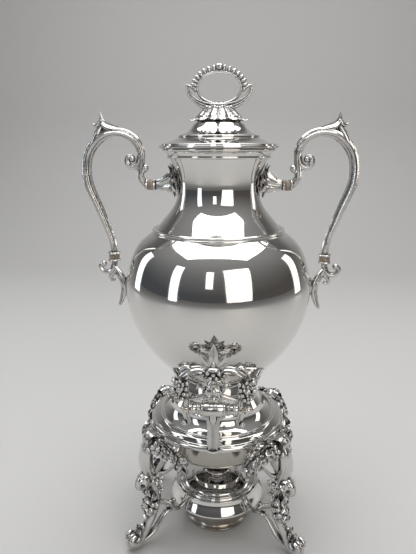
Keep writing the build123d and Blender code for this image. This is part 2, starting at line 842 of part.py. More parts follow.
with BuildPart() as mount_casting:
    castings = [collar_z(foot_mount_z, collar_flange, handle_foot_radius), mount_pad()]
    castings.append(
        cast_bar(
            [
                point(handle_foot_x, foot_mount_z + 0.3),
                point(handle_foot_x + 0.4, foot_mount_z - 5.5),
                point(handle_foot_x + 6.2, foot_mount_z - 11),
                point(handle_foot_x + 12.4, foot_mount_z - 8.6),
                point(handle_foot_x + 12, foot_mount_z - 3.6),
                point(handle_foot_x + 8.6, foot_mount_z - 4.6),
            ],
            [2.5, 2.6, 2.6, 2.5, 2.4, 2.2, 2.2],
        )
    )
    castings.append(
        cast_bar(
            [
                point(handle_foot_x + 0.6, foot_mount_z - 6),
                point(between(bulb_radius, handle_foot_x, 0.62), widest_z + 8),
                point(bulb_radius + 3.0, widest_z - 0.5),
                point(bulb_radius + 3.4, widest_z - 9),
                point(between(bulb_radius, handle_foot_x, 0.7), widest_z - 20),
            ],
            [2.3, 2.9, 3.2, 3.1, 2.3, 0.7],
        )
    )
    castings.append(
        cast_bar(
            [
                point(handle_foot_x - 1, foot_mount_z - 9),
                point(handle_foot_x + 2, foot_mount_z - 12.6),
                point(handle_foot_x + 4.2, foot_mount_z - 16),
                point(handle_foot_x + 2.6, foot_mount_z - 18),
            ],
            [2.0, 1.8, 1.6, 1.2],
        )
    )
    add(castings)

with BuildPart() as lower_mount:
    add(mount_casting.part)
    add(bulb_grown, mode=Mode.SUBTRACT)

# Leg, made once pointing along +X: pad under the dish, wings, knee, scroll foot and lamp bracket
pad_inner = apron_radius + seam_gap
pad_outer = dish_radius - dish_lip_wall - seam_gap
pad_foot_z = dish_seat_z - leg_pad_height
knee_z = dish_seat_z - 21
ankle_z = dish_seat_z * 0.46
band_hook_radius = lamp_band_foot_radius - 2.4
hook_top_z = lamp_rest_z - rest_gap


def wing(side):
    """Curved shoulder from the crown of the leg to a volute under the dish, on one side."""
    bar = [
        (leg_ankle_radius - 2, side * 2, pad_foot_z - 2),
        (leg_ankle_radius - 4, side * 12, pad_foot_z + 0.4),
        (leg_ankle_radius - 8.5, side * 21, pad_foot_z - 2.4),
        (leg_ankle_radius - 12, side * 27.5, pad_foot_z - 10),
        (leg_ankle_radius - 13, side * 27, pad_foot_z - 18),
        (leg_ankle_radius - 12.5, side * 22.5, pad_foot_z - 20),
        (leg_ankle_radius - 12.5, side * 20.5, pad_foot_z - 16),
    ]
    return cast_bar(bar, [4.6, 4.4, 4.0, 3.7, 3.5, 3.3, 3.0, 2.8, 2.5, 2.2], side=(1, 0, 0))


with BuildPart() as leg:
    with BuildSketch(Plane.XY.offset(pad_foot_z)):
        Circle(pad_outer)
        Circle(pad_inner, mode=Mode.SUBTRACT)
        half_chord = 2 * dish_radius * sin(radians(leg_pad_angle))
        Polygon(
            (0, 0),
            (2 * dish_radius * cos(radians(leg_pad_angle)), half_chord),
            (2 * dish_radius * cos(radians(leg_pad_angle)), -half_chord),
            align=None,
            mode=Mode.INTERSECT,
        )
    extrude(amount=leg_pad_height)
    castings = [wing(1), wing(-1)]
    castings.append(
        cast_bar(
            [
                point(leg_ankle_radius - 7, pad_foot_z - 0.5),
                point(leg_ankle_radius + 3, pad_foot_z + 1.5),
                point(leg_knee_radius, knee_z + 4),
                point(between(leg_ankle_radius, leg_knee_radius, 0.62), knee_z - 18),
                point(leg_ankle_radius, ankle_z),
                point(leg_ankle_radius + 3.5, ankle_z * 0.62),
                point(between(leg_ankle_radius, leg_toe_radius, 0.55), ankle_z * 0.27),
                point(leg_toe_radius - 3, leg_bar_radius * 0.5),
                point(leg_toe_radius + 2.4, leg_bar_radius * 1.25),
                point(leg_toe_radius + 1.2, leg_bar_radius * 2.35),
                point(leg_toe_radius - 4.4, leg_bar_radius * 2.4),
            ],
            [
                leg_bar_radius * share
                for share in (1.0, 1.1, 1.1, 1.0, 0.92, 0.86, 0.84, 0.82, 0.82, 0.84, 0.86, 0.8, 0.72, 0.62, 0.56, 0.5)
            ],
        )
    )
    leaf_x, leaf_z = between(leg_ankle_radius, leg_knee_radius, 0.5), knee_z - 16
    castings.append(
        cast_bar(
            [
                point(leaf_x, leaf_z),
                point(leaf_x + 7, leaf_z + 1.4),
                point(leaf_x + 13.4, leaf_z - 3),
                point(leaf_x + 13.6, leaf_z - 9),
                point(leaf_x + 10, leaf_z - 11),
            ],
            [3.6, 3.4, 3.0, 2.5, 2.1, 1.6],
            squash=1.7,
        )
    )
    crown_x = dish_radius + lip_clearance + leg_berry_radius * 1.5
    for forward, across, up in (
        (0, 0, 8), (2.2, 4.6, 4.4), (2.2, -4.6, 4.4), (4.0, 0, 1.5),
        (-1.4, 8.0, 6.0), (-1.4, -8.0, 6.0), (-0.8, 11.2, 0.6), (-0.8, -11.2, 0.6),
    ):
        castings.append(berry((crown_x + forward, across, pad_foot_z + up), leg_berry_radius))
    for forward, across, drop in (
        (6.4, 0, 8), (8.0, 3.8, 12.4), (8.0, -3.8, 12.4), (9.4, 0, 16.6), (8.2, 4.4, 20.0), (8.2, -4.4, 20.0),
    ):
        castings.append(berry((leg_ankle_radius + forward - 2, across, ankle_z - drop), leg_berry_radius))
    castings.append(
        cast_bar(
            [
                point(leg_ankle_radius, ankle_z - 10),
                point(leg_ankle_radius - 8, ankle_z - 13.5),
                point(leg_ankle_radius - 16, ankle_z - 18),
                point(lamp_band_foot_radius + 3.6, hook_top_z - 2.4),
                point(lamp_band_foot_radius - 0.6, hook_top_z - 4.6),
                point(band_hook_radius - 2, hook_top_z - 3.6),
            ],
            [share * bracket_radius for share in (1.5, 1.2, 1.1, 1, 1, 1, 0.9, 0.8)],
        )
    )
    add(castings)
    with BuildSketch(Plane.XY.offset(hook_top_z - 2.6)):
        with Locations((band_hook_radius, 0)):
            Circle(1.9)
    extrude(amount=2.6)
    with BuildSketch(Plane.XY):
        with Locations((leg_toe_radius - 0.8, 0)):
            Ellipse(toe_pad_length / 2, toe_pad_width / 2)
    extrude(amount=toe_pad_height)
    with BuildSketch(Plane.XY.offset(lip_foot_z - lip_clearance)):
        Circle(dish_radius + lip_clearance)
        Circle(pad_outer, mode=Mode.SUBTRACT)
    extrude(amount=4 * dish_lip_height, mode=Mode.SUBTRACT)
    with BuildSketch(Plane.XY.offset(dish_seat_z)):
        Circle(dish_radius + lip_clearance)
    extrude(amount=4 * dish_lip_height, mode=Mode.SUBTRACT)
    with BuildSketch(Plane.XY.offset(apron_foot_z - 2 * apron_bead)):
        Circle(apron_radius + apron_bead + seam_gap)
    extrude(amount=2 * apron_drop + dish_lip_height, mode=Mode.SUBTRACT)

# Spirit lamp: a closed bowl with a foot ring
lamp_band_top_z = lamp_rest_z + lamp_band_height
bowl_top_z = lamp_band_top_z - sheet
bowl_neck_radius = lamp_foot_radius - 3.2
with BuildPart() as lamp_bowl:
    with BuildSketch(Plane.XZ):
        with BuildLine():
            foot = Polyline(
                (bowl_neck_radius - sheet, lamp_foot_z),
                (lamp_foot_radius, lamp_foot_z),
                (lamp_foot_radius, lamp_foot_z + 1.6),
                (bowl_neck_radius, lamp_foot_z + 3.4),
                (bowl_neck_radius, lamp_foot_z + 5.2),
            )
            belly = ThreePointArc(
                foot @ 1,
                (between(bowl_neck_radius, lamp_bowl_radius, 0.72), between(lamp_foot_z, lamp_rest_z, 0.52)),
                (lamp_bowl_radius, lamp_rest_z),
            )
            rise = Polyline(
                belly @ 1,
                (lamp_bowl_radius, bowl_top_z),
                (wick_radius + wick_tube_wall + 2, bowl_top_z),
                (wick_radius + wick_tube_wall + 2, bowl_top_z - sheet),
                (lamp_bowl_radius - sheet, bowl_top_z - sheet),
                (lamp_bowl_radius - sheet, lamp_rest_z),
            )
            hollow = ThreePointArc(
                rise @ 1,
                (
                    between(bowl_neck_radius, lamp_bowl_radius, 0.72) - sheet,
                    between(lamp_foot_z, lamp_rest_z, 0.52) + sheet,
                ),
                (bowl_neck_radius - sheet, lamp_foot_z + 5.2 + sheet),
            )
            Polyline(
                hollow @ 1,
                (0, lamp_foot_z + 5.2 + sheet),
                (0, lamp_foot_z + 5.2),
                (bowl_neck_radius - sheet, lamp_foot_z + 5.2),
                foot @ 0,
            )
        make_face()
    revolve(axis=Axis.Z)

# Polished flared band round the lamp, on whose lower edge the lamp hangs in its brackets
with BuildPart() as lamp_band:
    with BuildSketch(Plane.XZ):
        with BuildLine():
            flare = Spline(
                (lamp_band_foot_radius, lamp_rest_z + 1.2),
                (between(lamp_band_top_radius, lamp_band_foot_radius, 0.42), lamp_rest_z + 0.5 * lamp_band_height),
                (lamp_band_top_radius, lamp_band_top_z - 1),
            )
            Polyline(
                flare @ 1,
                (lamp_band_top_radius, lamp_band_top_z),
                (lamp_bowl_radius - 3 * sheet, lamp_band_top_z),
                (lamp_bowl_radius - 3 * sheet, bowl_top_z),
                (lamp_bowl_radius + seam_gap, bowl_top_z),
                (lamp_bowl_radius + seam_gap, bowl_top_z - sheet),
                (lamp_band_foot_radius - 4.8, lamp_rest_z + sheet),
                (lamp_band_foot_radius - 4.8, lamp_rest_z),
                (lamp_band_foot_radius, lamp_rest_z),
                flare @ 0,
            )
        make_face()
    revolve(axis=Axis.Z)

# Cover with its grooved ring and step, and a hole for the wick tube
cover_top_z = lamp_band_top_z + lamp_cover_height
tube_hole = wick_radius + wick_tube_wall + seam_gap
groove_radius = between(lamp_step_radius, lamp_cover_radius, 0.5)
with BuildPart() as lamp_cover:
    with BuildSketch(Plane.XZ):
        with BuildLine():
            Polyline(
                (tube_hole, lamp_band_top_z),
                (lamp_cover_radius, lamp_band_top_z),
                (lamp_cover_radius, cover_top_z - 0.5),
                (lamp_cover_radius - 0.5, cover_top_z),
                (groove_radius + 0.9, cover_top_z),
                (groove_radius, cover_top_z - 0.9),
                (groove_radius - 0.9, cover_top_z),
                (lamp_step_radius, cover_top_z),
                (lamp_step_radius - 0.6, cover_top_z + 0.8),
                (cap_radius + 1, cover_top_z + 1.2),
                (cap_radius - 1.2 * sheet, cover_top_z + 1.2),
                (tube_hole, cover_top_z + 1.2),
                close=True,
            )
        make_face()
    revolve(axis=Axis.Z)

cover_deck_z = cover_top_z + 1.2
wick_tube_top_z = cover_deck_z + wick_tube_rise
with BuildPart() as wick_tube:
    with BuildSketch(Plane.XY.offset(bowl_top_z - 8)):
        Circle(wick_radius + wick_tube_wall)
        Circle(wick_radius + running_gap, mode=Mode.SUBTRACT)
    extrude(amount=wick_tube_top_z - bowl_top_z + 8)
    with BuildSketch(Plane.XY.offset(cover_deck_z)):
        Circle(wick_radius + wick_tube_wall + 2)
        Circle(wick_radius + running_gap, mode=Mode.SUBTRACT)
    extrude(amount=0.8)

with BuildPart() as wick:
    with BuildSketch(Plane.XY.offset(lamp_foot_z + 5.2 + 2 * sheet)):
        Circle(wick_radius)
    extrude(amount=wick_tube_top_z + 1 - lamp_foot_z - 5.2 - 2 * sheet)

# Snuffer cap over the wick: a low stepped lid
cap_foot_z = cover_deck_z + rest_gap
cap_shoulder_z = cap_foot_z + cap_skirt_height
cap_top_z = cap_foot_z + cap_height
with BuildPart() as lamp_cap:
    with BuildSketch(Plane.XZ):
        with BuildLine():
            skirt = Polyline(
                (cap_radius - sheet, cap_foot_z),
                (cap_radius, cap_foot_z),
                (cap_radius, cap_shoulder_z - 0.6),
                (cap_radius - 0.6, cap_shoulder_z),
            )
            slope = ThreePointArc(
                skirt @ 1,
                (between(cap_disc_radius, cap_radius, 0.4), between(cap_shoulder_z, cap_top_z, 0.32)),
                (cap_disc_radius, cap_top_z - 1.6),
            )
            Polyline(
                slope @ 1,
                (cap_disc_radius, cap_top_z - 0.4),
                (cap_disc_radius - 0.4, cap_top_z),
                (0, cap_top_z),
                (0, cap_top_z - 1.2 * sheet),
                (cap_disc_radius - sheet, cap_top_z - 1.2 * sheet),
                (cap_radius - 2 * sheet, cap_shoulder_z - sheet * 0.8),
                (cap_radius - sheet, cap_foot_z + 0.6),
                skirt @ 0,
            )
        make_face()
    revolve(axis=Axis.Z)

# Tap: boss on the bulb, shank, barrel and fluted spout
barrel_y = -tap_reach
stem_outer_solid = envelope(stem_outline, seam_gap)
boss_front_y = bulb_floor_radius + 14
with BuildPart() as tap_boss:
    with BuildSketch(Plane.XY.offset(tap_z)):
        with BuildLine():
            Polyline(
                (tap_shank_radius + seam_gap, -stem_waist_radius + sheet),
                (tap_boss_radius, -stem_waist_radius + sheet),
                (tap_boss_radius, -boss_front_y + 5),
                (tap_boss_radius - 1.4, -boss_front_y + 3.6),
                (tap_shank_radius + 1.4, -boss_front_y),
                (tap_shank_radius + seam_gap, -boss_front_y),
                close=True,
            )
        make_face()
    revolve(axis=Axis((0, 0, tap_z), (0, 1, 0)))
    add(bulb_grown, mode=Mode.SUBTRACT)
    add(stem_outer_solid, mode=Mode.SUBTRACT)

shank_inner_y = bulb_floor_radius - 6
with BuildPart() as tap_body:
    with BuildSketch(Plane.XZ.offset(shank_inner_y)):
        with Locations((0, tap_z)):
            Circle(tap_shank_radius)
    extrude(amount=tap_reach - shank_inner_y)
    with BuildSketch(Plane.XY.offset(tap_z)):
        with BuildLine():
            ridge = 0.9
            Polyline(
                (-barrel_half_length, barrel_y),
                (-barrel_half_length, barrel_y - barrel_radius * 0.86),
                (-barrel_half_length + 2.4, barrel_y - barrel_radius * 0.86),
                (-barrel_half_length + 3.2, barrel_y - barrel_radius * 1.06),
                (-barrel_centre_half_length - 2.2, barrel_y - barrel_radius * 1.02),
                (-barrel_centre_half_length - 1.4, barrel_y - barrel_radius * 0.9),
                (-barrel_centre_half_length, barrel_y - barrel_centre_radius),
                (-barrel_centre_half_length + 3 * ridge, barrel_y - barrel_centre_radius),
                (barrel_centre_half_length - 3 * ridge, barrel_y - barrel_centre_radius),
                (barrel_centre_half_length, barrel_y - barrel_centre_radius),
                (barrel_centre_half_length + 1.4, barrel_y - barrel_radius * 0.9),
                (barrel_centre_half_length + 2.2, barrel_y - barrel_radius * 1.02),
                (barrel_half_length - 3.2, barrel_y - barrel_radius * 1.06),
                (barrel_half_length - 2.4, barrel_y - barrel_radius * 0.86),
                (barrel_half_length, barrel_y - barrel_radius * 0.86),
                (barrel_half_length, barrel_y),
                close=True,
            )
        make_face()
    revolve(axis=Axis((0, barrel_y, tap_z), (1, 0, 0)))
    spout_levels = ((0, 1.0), (0.3, 1.02), (0.55, 0.86), (0.8, 0.92), (1.0, 1.08))
    for share, size in spout_levels:
        with BuildSketch(Plane.XY.offset(tap_z - spout_drop * share)):
            with Locations((0, barrel_y)):
                RegularPolygon(spout_radius * size, 8, rotation=22.5)
    loft(ruled=True)
    with Locations((0, barrel_y, tap_z)):
        Cylinder(spout_bore_radius, 2 * spout_drop, align=(Align.CENTER, Align.CENTER, Align.MAX), mode=Mode.SUBTRACT)
    with Locations((0, barrel_y, tap_z)):
        Cylinder(
            spout_bore_radius,
            tap_reach - shank_inner_y + 1,
            rotation=(90, 0, 0),
            align=(Align.CENTER, Align.CENTER, Align.MAX),
            mode=Mode.SUBTRACT,
        )
    with Locations(Location((0, barrel_y, tap_z), (0, 90, 0))):
        Cone(
            plug_large_radius + running_gap,
            plug_small_radius + running_gap,
            2 * barrel_half_length,
            mode=Mode.SUBTRACT,
        )

# Gasket and nut on the shank inside the bulb
bulb_cavity = envelope(bulb_inside, -seam_gap)
gasket_y = bulb_floor_radius - sheet - 0.8
with BuildPart() as tap_gasket:
    with BuildSketch(Plane.XZ.offset(gasket_y)):
        with Locations((0, tap_z)):
            Circle(tap_shank_radius + 2.8)
            Circle(tap_shank_radius + seam_gap, mode=Mode.SUBTRACT)
    extrude(amount=bulb_rise)
    add(bulb_cavity, mode=Mode.INTERSECT)

with BuildPart() as tap_nut:
    with BuildSketch(Plane.XZ.offset(gasket_y)):
        with Locations((0, tap_z)):
            RegularPolygon(tap_shank_radius + 2.6, 6)
            Circle(tap_shank_radius + running_gap, mode=Mode.SUBTRACT)
    extrude(amount=-3.2)

# Tapered plug with its cross port, a bead on each end
with BuildPart() as tap_plug:
    with Locations(Location((0, barrel_y, tap_z), (0, 90, 0))):
        Cone(plug_large_radius, plug_small_radius, 2 * barrel_half_length)
        Cylinder(spout_bore_radius * 0.6, 4 * plug_large_radius, rotation=(90, 0, 0), mode=Mode.SUBTRACT)
    with BuildSketch(Plane.YZ.offset(-barrel_half_length)):
        with Locations((barrel_y, tap_z)):
            Circle(plug_small_radius * 0.8)
    extrude(amount=-(lever_arm_x + 2.6 - barrel_half_length))
    with BuildSketch(Plane.YZ.offset(barrel_half_length)):
        with Locations((barrel_y, tap_z)):
            Circle(plug_small_radius * 0.8)
    extrude(amount=lever_arm_x + 2.6 - barrel_half_length)

# Yoke lever: two arms on the plug's ends, side flowers, a boss and a leaf crown
lever_top_z = tap_z + lever_height
arm_eye_radius = 3.9
half_lever = lever_thickness / 2
clasp_z = tap_z + 0.6 * lever_height
side_z = tap_z + 0.36 * lever_height
boss_z = tap_z + 0.26 * lever_height


def front(x, z):
    """Point in the lever's plane."""
    return (x, barrel_y, z)


def lever_eye(hand):
    """Round eye at the foot of one arm, on the plug's end."""
    with BuildPart() as eye:
        with BuildSketch(Plane.YZ.offset(hand * lever_arm_x)):
            with Locations((barrel_y, tap_z)):
                Circle(arm_eye_radius)
        extrude(amount=half_lever * 0.55, both=True)
    return eye.part


def lever_half(hand):
    """Arm, S scroll, cross bar, flower cluster and curl on one side of the lever."""
    arm = [
        front(hand * lever_side_reach, side_z),
        front(hand * (lever_arm_x + 3.6), tap_z + 15),
        front(hand * (lever_arm_x - 0.6), tap_z + 8),
        front(hand * lever_arm_x, tap_z),
        front(hand * (lever_arm_x + 0.4), tap_z - 8),
        front(hand * (lever_arm_x - 2.0), tap_z - 14.6),
        front(hand * (lever_arm_x + 2.2), tap_z - 15.4),
    ]
    scroll = [
        front(hand * lever_side_reach, side_z - 1),
        front(hand * (lever_side_reach - 1.5), side_z + 6.5),
        front(hand * (lever_side_reach * 0.62), side_z + 12.6),
        front(hand * (lever_side_reach * 0.3), side_z + 12.2),
        front(hand * -0.8, clasp_z),
    ]
    cross = [
        front(hand * (lever_arm_x - 0.6), tap_z + 8),
        front(hand * 14, tap_z + 9.6),
        front(hand * 7, boss_z - 1),
        front(hand * -0.6, boss_z + 0.4),
    ]
    curl = [
        front(hand * 1.5, clasp_z - 1),
        front(hand * 6.4, clasp_z + 6.4),
        front(hand * 9.8, clasp_z + 9.6),
        front(hand * 13.0, clasp_z + 7.0),
    ]
    cast = [
        lever_eye(hand),
        cast_bar(arm, [2.3, 2.1, 2.1, 2.1, 2.1, 2.1, 2.1, 2.0, 1.7, 1.3]),
        cast_bar(scroll, [2.3, 2.3, 2.2, 2.1, 2.0, 1.9]),
        cast_bar(cross, [1.7, 1.8, 1.8, 1.7]),
        cast_bar(curl, [1.7, 2.2, 1.9, 0.9]),
    ]
    for across, up in ((-3.4, 3.2), (1.4, 4.2), (2.6, -1.6), (-3.0, -3.2)):
        cast.append(berry(front(hand * (lever_side_reach + across), side_z + up), 2.9))
    return cast


def lever_boss():
    """Eight-sided flower boss where the cross bar meets the middle."""
    with BuildPart() as boss:
        for depth, size in ((-half_lever - 1.2, 5.6), (half_lever + 1.2, 6.8)):
            with BuildSketch(Plane.XZ.offset(-barrel_y + depth)):
                with Locations((0, boss_z)):
                    RegularPolygon(size, 8)
        loft(ruled=True)
    return boss.part


middle = cast_bar(
    [front(0, boss_z), front(0, clasp_z), front(0, clasp_z + 10), front(0, lever_top_z)],
    [1.9, 2.0, 2.0, 2.2, 3.3, 3.0, 0.5],
    side=(1, 0, 0),
    squash=0.8,
)
with BuildPart() as lever_casting:
    add(lever_half(1) + lever_half(-1) + [middle, lever_boss()])

with BuildPart() as tap_lever:
    add(lever_casting.part)
    eye_bore = plug_small_radius * 0.8 + running_gap
    with BuildSketch(Plane.YZ):
        with Locations((barrel_y, tap_z)):
            Circle(eye_bore)
    extrude(amount=2 * lever_arm_x, both=True, mode=Mode.SUBTRACT)
    with BuildSketch(Plane.YZ):
        with Locations((barrel_y, tap_z)):
            Circle(barrel_centre_radius + 1)
    extrude(amount=barrel_half_length + 0.3, both=True, mode=Mode.SUBTRACT)

# Knob and small head that hold the lever on the plug's ends
plug_end_x = lever_arm_x + 2.6
with BuildPart() as plug_knob:
    with BuildSketch(Plane.YZ.offset(plug_end_x)):
        with Locations((barrel_y, tap_z)):
            Circle(knob_radius * 0.7)
    extrude(amount=knob_radius * 0.6)
    with Locations((plug_end_x + knob_radius * 1.2, barrel_y, tap_z)):
        Sphere(knob_radius)
    with BuildSketch(Plane.YZ.offset(plug_end_x)):
        with Locations((barrel_y, tap_z)):
            Circle(4 * knob_radius)
    extrude(amount=-knob_radius, mode=Mode.SUBTRACT)

with BuildPart() as plug_head:
    with BuildSketch(Plane.YZ.offset(-plug_end_x)):
        with Locations((barrel_y, tap_z)):
            Circle(knob_radius * 0.9)
    extrude(amount=-1.6)

# Every finished piece with its node's name
pieces = {
    "body_shell": body_shell.part,
    "body_shoulder": body_shoulder.part,
    "neck_shell": neck_shell.part,
    "neck_band": neck_band.part,
    "mouth_rim": mouth_rim.part,
    "body_stem": body_stem.part,
    "base_dish": base_dish.part,
    "base_apron": base_apron.part,
    "rim_hinge_leaf": rim_hinge_leaf.part,
    "hinge_pin": hinge_pin.part,
    "lid_hinge_leaf": lid_hinge_leaf.part,
    "lid_shell": lid_shell.part,
    "lid_bezel": lid_bezel.part,
    "finial_base": finial_base.part,
    "finial_ring": finial_ring.part,
    "finial_stud": finial_stud.part,
    "finial_nut": finial_nut.part,
    "lamp_bowl": lamp_bowl.part,
    "lamp_band": lamp_band.part,
    "lamp_cover": lamp_cover.part,
    "wick_tube": wick_tube.part,
    "wick": wick.part,
    "lamp_cap": lamp_cap.part,
    "tap_boss": tap_boss.part,
    "tap_body": tap_body.part,
    "tap_gasket": tap_gasket.part,
    "tap_nut": tap_nut.part,
    "tap_plug": tap_plug.part,
    "tap_lever": tap_lever.part,
    "plug_knob": plug_knob.part,
    "plug_head": plug_head.part,
}

# The left handle is the right one mirrored
handle_pieces = {
    "upper_mount": upper_mount.part,
    "upper_insulator": upper_insulator.part,
    "grip": grip.part,
    "lower_insulator": lower_insulator.part,
    "lower_mount": lower_mount.part,
    "insulator_pins": insulator_pins.part,
}
for name, solid in handle_pieces.items():
    pieces["right_" + name] = solid
    pieces["left_" + name] = mirror(solid, about=Plane.YZ)

# The four legs are copies of one casting, turned to their places
leg_places = {
    "leg_front_right": leg_angle - 90,
    "leg_front_left": -leg_angle - 90,
    "leg_rear_right": 90 - leg_angle,
    "leg_rear_left": 90 + leg_angle,
}
for name, angle in leg_places.items():
    pieces[name] = leg.part.rotate(Axis.Z, angle)

for name, solid in pieces.items():
    solid.label = name
    export_step(solid, "parts/" + name + ".step")
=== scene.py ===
from math import cos, hypot, pi, radians, sin

import bpy
from bpy.props import FloatProperty, FloatVectorProperty, IntProperty, PointerProperty
from mathutils import Matrix, Vector


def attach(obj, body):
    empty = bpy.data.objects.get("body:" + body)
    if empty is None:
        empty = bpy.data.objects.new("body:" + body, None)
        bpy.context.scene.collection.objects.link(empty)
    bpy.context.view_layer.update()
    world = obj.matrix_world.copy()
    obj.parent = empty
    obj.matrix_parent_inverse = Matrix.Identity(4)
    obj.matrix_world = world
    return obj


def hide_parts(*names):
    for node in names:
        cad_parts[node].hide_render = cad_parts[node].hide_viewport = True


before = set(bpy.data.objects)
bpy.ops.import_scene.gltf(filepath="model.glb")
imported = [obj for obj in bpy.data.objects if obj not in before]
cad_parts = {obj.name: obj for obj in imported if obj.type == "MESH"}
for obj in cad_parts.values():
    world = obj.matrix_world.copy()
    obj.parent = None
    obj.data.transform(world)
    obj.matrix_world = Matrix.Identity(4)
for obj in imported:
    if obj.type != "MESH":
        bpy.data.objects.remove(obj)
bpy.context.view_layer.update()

bl_info = {
    "name": "Coffee Urn",
    "version": (1, 0, 0),
    "blender": (4, 5, 0),
    "location": "View3D > Sidebar > Coffee Urn",
    "description": "Builds a silver-plated coffee urn with its tap, lid and spirit lamp",
    "category": "Add Mesh",
}

MM = 0.001

# Outlines of the spun pieces, as radius and height in millimetres
BULB_OUTLINE = [
    (38.8, 147.0), (45.2, 161.95), (57.59, 177.17), (71.47, 198.04), (79.58, 221.03),
    (81.48, 237.95), (78.13, 258.39), (69.59, 276.72), (55.6, 288.0),
]
NECK_OUTLINE = [
    (55.6, 288.0), (46.45, 299.22), (38.54, 309.47), (34.8, 322.53), (36.2, 336.01), (41.8, 349.0),
]
STEM_OUTLINE = [(41.0, 128.0), (37.11, 134.46), (35.6, 140.54), (38.8, 147.0)]

# Thickness of the sheet and places of the fittings, in millimetres
SHEET = 1.4
BULB_WIDEST = 237.95
TAP_HEIGHT = 160.8
TAP_REACH = 84.0
RING_CENTRE = 405.15
HANDLE_TOP = 326.8
HANDLE_FOOT = 93.4

# Places of an axis in a point
X, Y = 0, 1

# Bars of the castings, as rows of place and radius in millimetres
GRIP_ROWS = [
    (62.5, 0, 326.8, 3.2), (66.3, 0, 331.5, 2.9), (66.7, 0, 344, 3.3), (67.3, 0, 357.4, 3.8),
    (73.4, 0, 365.6, 4), (83.8, 0, 369.9, 4.1), (96.2, 0, 368.6, 4.3), (105.6, 0, 361.7, 4.4),
    (112, 0, 351.4, 4.4), (113.9, 0, 339.7, 4.4), (112.9, 0, 328.1, 4.3), (108.1, 0, 314.9, 4.1),
    (102.2, 0, 300, 3.8), (97.4, 0, 286.9, 3.4), (94, 0, 274.9, 3.1), (93.4, 0, 267.3, 3),
]
LEG_ROWS = [
    (62, 0, 103.5, 5.4), (71, 0, 104.4, 6.2), (77.2, 0, 92.6, 6.4), (74.2, 0, 71, 5.9), (68.6, 0, 50.6, 5.1),
    (72.5, 0, 31.4, 4.9), (82.8, 0, 12.6, 4.8), (91, 0, 3.2, 4.9), (96.2, 0, 6.8, 4.4), (95, 0, 13.8, 3.6),
    (89.6, 0, 14, 2.8),
]
LEG_PLACES = {"front_right": -37, "front_left": -143, "rear_right": 37, "rear_left": 143}

# Fineness of the meshes
SMOOTH_ANGLE = 38
BAR_SMOOTH_ANGLE = 50
MERGE_DISTANCE = 2e-6
ROUND_CORNERS = 16
BLUNT_REACH, POINTED_REACH = 0.8, 0.35
END_TURNS = (0.5, 1.0, 1.35, pi / 2)
LOBE_ROUNDNESS = 0.8
FOLIAGE_LINE_SPACING, FOLIAGE_SPACING = 0.8, 0.9


class UrnFinish(bpy.types.PropertyGroup):
    """Colours of the urn's surfaces."""

    silver: FloatVectorProperty(
        name="Silver", description="Colour of the polished plate",
        subtype="COLOR", size=3, min=0, max=1, default=(0.74, 0.73, 0.715),
    )
    # Recess: painted shade, the dark colour given to the hollows of the castings where shade falls
    painted_recess_shade: FloatVectorProperty(
        name="Recess", description="Colour of the darkened hollows in the castings",
        subtype="COLOR", size=3, min=0, max=1, default=(0.030, 0.026, 0.023),
    )
    tarnish: FloatVectorProperty(
        name="Tarnish", description="Warm film on the less rubbed places",
        subtype="COLOR", size=3, min=0, max=1, default=(0.62, 0.55, 0.46),
    )
    horn: FloatVectorProperty(
        name="Horn", description="Colour of the insulating discs in the handles",
        subtype="COLOR", size=3, min=0, max=1, default=(0.30, 0.24, 0.185),
    )
    floor: FloatVectorProperty(
        name="Floor", description="Colour of the floor",
        subtype="COLOR", size=3, min=0, max=1, default=(0.55, 0.546, 0.538),
    )


class UrnSizes(bpy.types.PropertyGroup):
    """Fineness and detail sizes of the urn's pieces."""

    spin_steps: IntProperty(
        name="Spin Steps", description="Facets round each spun piece", min=24, max=256, default=160,
    )
    berry: FloatProperty(
        name="Berry", description="Radius of a berry on the legs",
        unit="LENGTH", min=0.001, max=0.006, default=0.0031,
    )
    ring_bead: FloatProperty(
        name="Ring Bead", description="Radius of a bead on the finial ring",
        unit="LENGTH", min=0.001, max=0.004, default=0.0021,
    )


def sizes():
    """The sizes that the user has set."""
    return bpy.context.scene.urn_sizes


def finish_colours():
    """The colours that the user has set."""
    return bpy.context.scene.urn_finish


# Shading

# Sockets of a colour mix: both colours in, one out
MIX_FIRST, MIX_SECOND, MIX_RESULT = 6, 7, 2


def math_node(operation, swapped=False):
    """Method that adds a Math node to a shader value and another one."""
    def method(self, other):
        pair = [other, self] if swapped else [self, other]
        return self.paint.node("ShaderNodeMath", {"operation": operation}, pair)
    return method


class Value:
    """A shader value that adds Math nodes when it takes part in Python sums."""

    def __init__(self, paint, socket):
        self.paint = paint
        self.socket = socket

    __add__, __radd__ = math_node("ADD"), math_node("ADD", True)
    __sub__, __rsub__ = math_node("SUBTRACT"), math_node("SUBTRACT", True)
    __mul__, __rmul__ = math_node("MULTIPLY"), math_node("MULTIPLY", True)


